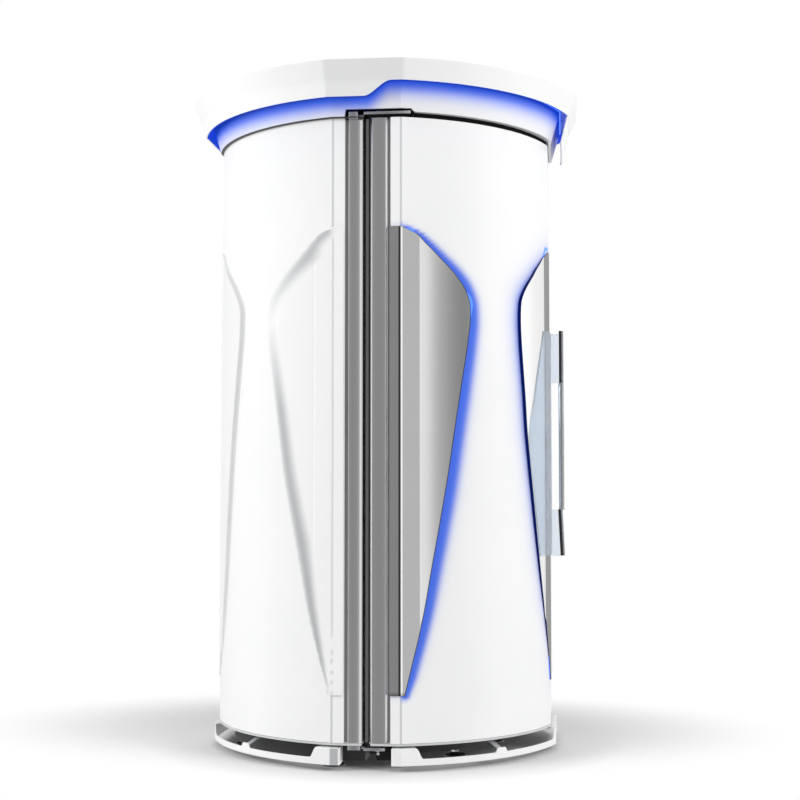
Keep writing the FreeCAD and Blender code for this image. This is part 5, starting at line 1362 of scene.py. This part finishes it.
signs = {"stop": [rounded(11, 11, 1.2)], "fan": [lobe(2 * np.pi * k / 3) for k in range(3)],
         "start": [np.array([(-4.5, -5.5), (6, 0), (-4.5, 5.5)])]}
bezel = [(10.4, 0.0), (10.4, 1.6), (11.2, 2.2), (13.2, 1.9), (14.2, 0.9), (14.4, 0.0)]
bezels, symbols = [], []
dome = [(0, 0.9), (4, 0.5), (7.5, 0.0), (9.2, 0.3), (10, 1.4), (10, 10.6), (9.6, 11), (0, 11)]
for name, (height, colour, slot) in BUTTONS.items():
    ring_shape = turned(np.array(bezel) * (1, -1), (0, 0, 0), 36, axis=0)
    bezels.append(facing(ring_shape, height))
    symbols += [facing(bar(outline + (22, 0), -0.5, 0.2, axis=0), height) for outline in signs[name]]
    face = finish(f"{name}_button_plastic", colour, tuple(c * 0.85 for c in colour), 0.3, grain=800.0)
    make(f"button_{name}_cap", [turned(dome, (443, PANEL_MIDDLE, height), 36, axis=0)], face,
         f"button_{name}", [f"button_{name}"], sharp=40)
heads = [turned(np.array(SCREW_HEAD) * (0.8, -0.6), (PANEL_FACE, PANEL_MIDDLE + dy, z), 12, axis=0)
         for dy in (-25, 25) for z in (1190, 1410)]
make("control_panel_bezels", bezels, black_plastic, "booth", sharp=35)
make("control_panel_signs", symbols, ridge_dark, "booth", sharp=30)
make("control_panel_screws", heads, plated, "booth", sharp=40)

# %% [markdown]
# ## Hand rail
# A round bar hangs from the ceiling on two posts, bent from one tube. A circle is carried along the
# tube's centre line, which lies in one upright plane, so the circle's frame is the line's normal in the
# plane and the plane's own normal.

# %% Rail
RAIL_Y, POST_X = 230.0, 170.0


def swept(path, radius, count=20):
    """A tube round a line of (x, z) points in the rail's plane."""
    along = np.gradient(path, axis=0)
    along /= np.linalg.norm(along, axis=1)[:, None]
    normal = np.stack([-along[:, 1], along[:, 0]], -1)
    turn = np.linspace(0, 2 * np.pi, count, endpoint=False)
    x = path[:, :1] + radius * normal[:, :1] * np.cos(turn)
    z = path[:, 1:] + radius * normal[:, 1:] * np.cos(turn)
    y = RAIL_Y + radius * np.broadcast_to(np.sin(turn), x.shape)
    made = sheet(np.stack([x, y, z], -1), closed=True)
    index = np.arange(len(path) * count).reshape(len(path), count)
    made["faces"] += [index[0, ::-1].tolist(), index[-1].tolist()]
    return made


bend = np.linspace(0, np.pi / 2, 10)
corner = np.stack([-132 - 38 * np.cos(bend), 2122 - 38 * np.sin(bend)], -1)
post = [(-POST_X, z) for z in (2192, 2160, 2124)]
left = np.concatenate([post, corner, [(-130, 2084), (-60, 2084)]])
path = np.concatenate([left, [(0, 2084)], left[::-1] * (-1, 1)])
flange = [(0, 2194), (26, 2194), (26, 2190.4), (24.6, 2189.2), (14, 2188.6), (12.6, 2186), (12, 2182),
          (0, 2182)]
make("hand_rail_tube", [swept(path, 12.0)], tube_finish, "booth", ["hand_rail"], sharp=50)
make("hand_rail_flanges", [turned(flange, (x, RAIL_Y, 0), 40) for x in (-POST_X, POST_X)], plated, "booth",
     ["hand_rail"], sharp=35)

# %% [markdown]
# ## Services behind the reflector, gland and catch
# Eight ballasts in steel cans stand behind the rear reflector, each with a terminal strip at its top. The
# supply comes in through a gland with a hexagonal body and a domed nut. Magnets hold the door against
# striker plates.

# %% Services
CAN_Y, CAN_PITCH, ROW_PITCH, CAN_HEIGHT = 523.0, 74, 494, 404
cans, terminals = [], []
for row in range(2):
    for number in range(4):
        place, z = np.array([-111 + CAN_PITCH * number, CAN_Y]), 240 + ROW_PITCH * row
        cans.append(bar(rounded(60, 66, 5) + place, z + 4, z + CAN_HEIGHT))
        cans.append(bar(rounded(62, 52, 3) + place, z, z + 3))
        terminals.append(bar(rounded(44, 30, 3) + place, z + CAN_HEIGHT, z + CAN_HEIGHT + 14))
can_paint = finish("grey_ballast_paint", (0.33, 0.34, 0.35), (0.28, 0.29, 0.30), 0.42, dust=0.3)
make("ballast_cans", cans, can_paint, "booth", ["ballast_units"], edge=0.8)
make("ballast_terminals", terminals, socket_white, "booth", ["ballast_units"], edge=0.8)
hexagon = [(7, 602), (14, 602), (14, 604), (13.4, 604.6), (13.4, 614.5), (12.4, 615.5), (7, 615.5)]
nut_dome = [(7, 614), (11.6, 615.5), (11.8, 627), (10.6, 631.5), (8.8, 634.6), (7.4, 635.4), (7, 634)]
GLAND_HEIGHT = 170
make("mains_gland_nuts", [turned(profile, (0, 0, GLAND_HEIGHT), count, axis=1)
                          for profile, count in ((hexagon, 6), (nut_dome, 28))],
     black_plastic, "booth", ["mains_gland"], sharp=28)

# %% [markdown]
# ## Finishes for the CAD nodes that stay
# Seals, plates, guards and hidden parts already have the right shape, so they only get a finish. Plates
# are pale under the shell and black over it, so one finish mixes two colours by height. The light
# strips shine, and the guards are clear.

# %% Carried-over nodes
clear_guard = finish("clear_guard_acrylic", (0.97, 0.985, 1.0), (0.96, 0.98, 1.0), 0.05, bump=0.002,
                     spread=0.01, Transmission_Weight=1.0, IOR=1.05)
led = finish("blue_light_strip", (0.10, 0.25, 0.9), (0.08, 0.2, 0.85), 0.4,
             Emission_Color=(0.03, 0.12, 0.9, 1), Emission_Strength=1.2)


def two_level(name, below, above, height, rough):
    """A paint that is one tone below a height and another above it, by Object Z."""
    made = finish(name, below, tuple(c * 0.93 for c in below), rough)
    tree = made.node_tree
    place, parts = add(tree, "TexCoord"), add(tree, "SeparateXYZ")
    higher = add(tree, "Math", [(1, height / 1000)], operation="GREATER_THAN")
    join(tree, (place, "Object", parts, 0), (parts, "Z", higher, 0))
    overlay(tree, higher, 0, above)
    return made


plates = two_level("plate_paint_in_two_tones", (0.60, 0.61, 0.62), (0.035, 0.035, 0.037), 1000, 0.5)
CARRIED = {
    "rear_plates": plates, "door_plates": plates, "rear_seals": seal_rubber, "door_seals": seal_rubber,
    "base_frame": dark_steel, "hinge_thrust_washer": black_plastic, "door_hinge_bushes": black_plastic,
    "rear_guards": clear_guard, "door_guards": clear_guard, "rear_end_panels": white_inside,
    "door_end_panels": white_inside, "ceiling_panel": white_inside, "fan_housing": dark_steel,
    "fan_motor": black_plastic, "control_panel": panel_plastic, "catch_magnets": black_plastic,
    "door_strikers": plated, "door_led_strips": led, "crown_led_strip": led,
}
replaced = {node for piece in bpy.context.scene.objects for node in piece.get("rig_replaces", [])}
left_over = sorted(set(NODES) - replaced)
for name in left_over:
    NODES[name].data.materials.clear()
    NODES[name].data.materials.append(CARRIED[name])
print("carried over:", left_over)

# %% [markdown]
# ## The studio
# The light is even and soft, so a colour renders about as it is written. Metals need something to
# reflect: for glossy rays the world is a ring of pale and darker bands, which depend only on the
# direction in the room. For camera rays it is plain white.

# %% World
world = bpy.data.worlds.new("studio")
bpy.context.scene.world = world
world.use_nodes = True
tree = world.node_tree
tree.nodes.clear()
out = add(tree, "OutputWorld")


def bands(tree, stops):
    """Grey by direction: the compass angle of the ray, counted in degrees from behind the viewer towards
    the door's side, is looked up in a list of (degrees, grey) stops."""
    place = add(tree, "TexCoord")
    parts = add(tree, "SeparateXYZ")
    turn = add(tree, "Math", operation="ARCTAN2")
    flip_x, flip_y, away = (add(tree, "Math", [(1, factor)], operation="MULTIPLY")
                            for factor in (-1.0, -1.0, 180 / math.pi))
    share = add(tree, "MapRange", From_Min=-180.0, From_Max=180.0)
    ramp = add(tree, "ValToRGB")
    join(tree, (place, "Generated", parts, 0), (parts, "X", flip_x, 0), (parts, "Y", flip_y, 0),
         (flip_y, 0, turn, 0), (flip_x, 0, turn, 1), (turn, 0, away, 0), (away, 0, share, "Value"),
         (share, "Result", ramp, "Fac"))
    points = ramp.color_ramp.elements
    while len(points) > 1:
        points.remove(points[-1])
    for number, (degrees, grey) in enumerate(stops):
        point = points[0] if number == 0 else points.new((degrees + 180) / 360)
        point.position = (degrees + 180) / 360
        point.color = (grey, grey, grey, 1)
    return ramp.outputs["Color"]


STOPS = [(-180, 0.8), (-120, 0.8), (-104, 1.4), (-84, 1.4), (-60, 0.85), (-32, 0.5), (-14, 0.27), (5, 0.26),
         (13, 0.5), (20.7, 1.1), (28, 1.0), (36, 0.55), (53, 0.33), (69, 0.2), (75, 0.5), (80, 1.45),
         (104, 1.45), (127, 1.1), (155, 1.0)]
DIFFUSE_LEVEL, PLAIN_WHITE = 0.66, (1, 1, 1, 1)
path_kind = add(tree, "LightPath")
mirrored, seen = add(tree, "Background"), add(tree, "Background", Color=PLAIN_WHITE)
plain = add(tree, "Background", Color=PLAIN_WHITE, Strength=DIFFUSE_LEVEL)
tree.links.new(bands(tree, STOPS), mirrored.inputs["Color"])
either = add(tree, "Math", operation="MAXIMUM")
join(tree, (path_kind, "Is Camera Ray", either, 0), (path_kind, "Is Transmission Ray", either, 1))
first_mix, second_mix = add(tree, "MixShader"), add(tree, "MixShader")
join(tree, (path_kind, "Is Glossy Ray", first_mix, 0), (plain, 0, first_mix, 1),
     (mirrored, 0, first_mix, 2), (either, 0, second_mix, 0), (first_mix, 0, second_mix, 1),
     (seen, 0, second_mix, 2), (second_mix, 0, out, "Surface"))

# %% [markdown]
# ## Floor
# The floor is a plain pale disc. Near the booth it is an ordinary matt surface that takes the shadow, and
# farther out it fades, for the camera, mirrors and glass, into a plain white that meets the background.

# %% Floor
FLOOR_RADIUS, FLOOR_TONE = 2.8, 0.745
SHADE_CENTRE, SHADE_SQUASH, SHADE_FADE, BOOTH_FADE = (0.3, 0.1, 0), (1.5, 1, 1), (0.65, 1.65), (0.68, 0.88)
turn = np.linspace(0, 2 * np.pi, 96, endpoint=False)
rim = np.stack([np.cos(turn) * FLOOR_RADIUS, np.sin(turn) * FLOOR_RADIUS, np.zeros(96)], -1)
floor_mesh = bpy.data.meshes.new("studio_floor")
floor_mesh.from_pydata(rim.tolist(), [], [list(range(96))])
floor = bpy.data.objects.new("studio_floor", floor_mesh)
bpy.context.scene.collection.objects.link(floor)
floor_finish = bpy.data.materials.new("studio_floor_white")
floor_finish.use_nodes = True
tree = floor_finish.node_tree
matt = tree.nodes["Principled BSDF"]
floor_values = {"Base Color": (FLOOR_TONE,) * 3 + (1,), "Roughness": 0.8, "Specular IOR Level": 0.1}
for label, value in floor_values.items():
    matt.inputs[label].default_value = value
place, kinds = add(tree, "TexCoord"), add(tree, "LightPath")
shift = add(tree, "VectorMath", [(1, SHADE_CENTRE)], operation="SUBTRACT")
longer = add(tree, "VectorMath", [(1, SHADE_SQUASH)], operation="MULTIPLY")
away, reach_out = (add(tree, "VectorMath", operation="LENGTH") for _ in range(2))
fade = add(tree, "MapRange", interpolation_type="SMOOTHSTEP", From_Min=SHADE_FADE[0], From_Max=SHADE_FADE[1])
outside = add(tree, "MapRange", From_Min=BOOTH_FADE[0], From_Max=BOOTH_FADE[1])
first, second, factor, both = (add(tree, "Math", operation=kind)
                               for kind in ("MAXIMUM", "MAXIMUM", "MULTIPLY", "MULTIPLY"))
white, mix = add(tree, "Emission", Color=PLAIN_WHITE), add(tree, "MixShader")
join(tree, (place, "Object", reach_out, 0), (reach_out, "Value", outside, "Value"),
     (outside, "Result", both, 0), (fade, "Result", both, 1), (place, "Object", shift, 0),
     (shift, 0, longer, 0), (longer, 0, away, 0), (away, "Value", fade, "Value"),
     (kinds, "Is Camera Ray", first, 0), (kinds, "Is Glossy Ray", first, 1), (first, 0, second, 0),
     (kinds, "Is Transmission Ray", second, 1), (both, 0, factor, 0), (second, 0, factor, 1),
     (factor, 0, mix, 0), (matt, 0, mix, 1), (white, 0, mix, 2),
     (mix, 0, tree.nodes["Material Output"], "Surface"))
floor_mesh.materials.append(floor_finish)
floor.visible_glossy = False

# %% [markdown]
# ## Lights and camera
# Two large soft lamps light the booth from both sides of the viewer. The camera stands at the hinge side a
# little below the booth's middle, turned a few degrees towards the rear and tilted up.

# %% Soft lamps


def soft_box(name, place, aim, size, watts):
    """A square area light at a place in metres, turned to a point."""
    light = bpy.data.lights.new(name, "AREA")
    light.shape, light.size, light.energy = "SQUARE", size, watts
    lamp = bpy.data.objects.new(name, light)
    lamp.location = place
    lamp.rotation_euler = (Vector(aim) - Vector(place)).to_track_quat("-Z", "Y").to_euler()
    bpy.context.scene.collection.objects.link(lamp)
    lamp.visible_glossy = False
    return lamp


soft_box("key_light", (-3.4, -6.2, 4.3), (0, 0, 1.1), 3.0, 244)
soft_box("fill_light", (-3.4, 6.2, 3.9), (0, 0, 1.1), 3.0, 252)

# %% Camera
CAMERA_TURN, CAMERA_LIFT, SENSOR = 6.13, 3.44, 36.0
FOCAL_PIXELS, IMAGE_PIXELS = 1512.2, 800
camera = bpy.data.cameras.new("view")
camera.sensor_width, camera.lens = SENSOR, FOCAL_PIXELS / IMAGE_PIXELS * SENSOR
camera.clip_start, camera.clip_end = 0.1, 200
eye = bpy.data.objects.new("view", camera)
eye.location = (-5.643, -0.649, 0.920)
yaw, pitch = math.radians(CAMERA_TURN), math.radians(CAMERA_LIFT)
aim = Vector((math.cos(pitch) * math.cos(yaw), math.cos(pitch) * math.sin(yaw), math.sin(pitch)))
eye.rotation_euler = aim.to_track_quat("-Z", "Y").to_euler()
bpy.context.scene.collection.objects.link(eye)
bpy.context.scene.camera = eye
bpy.context.scene.view_settings.view_transform = "Standard"

bpy.context.view_layer.update()
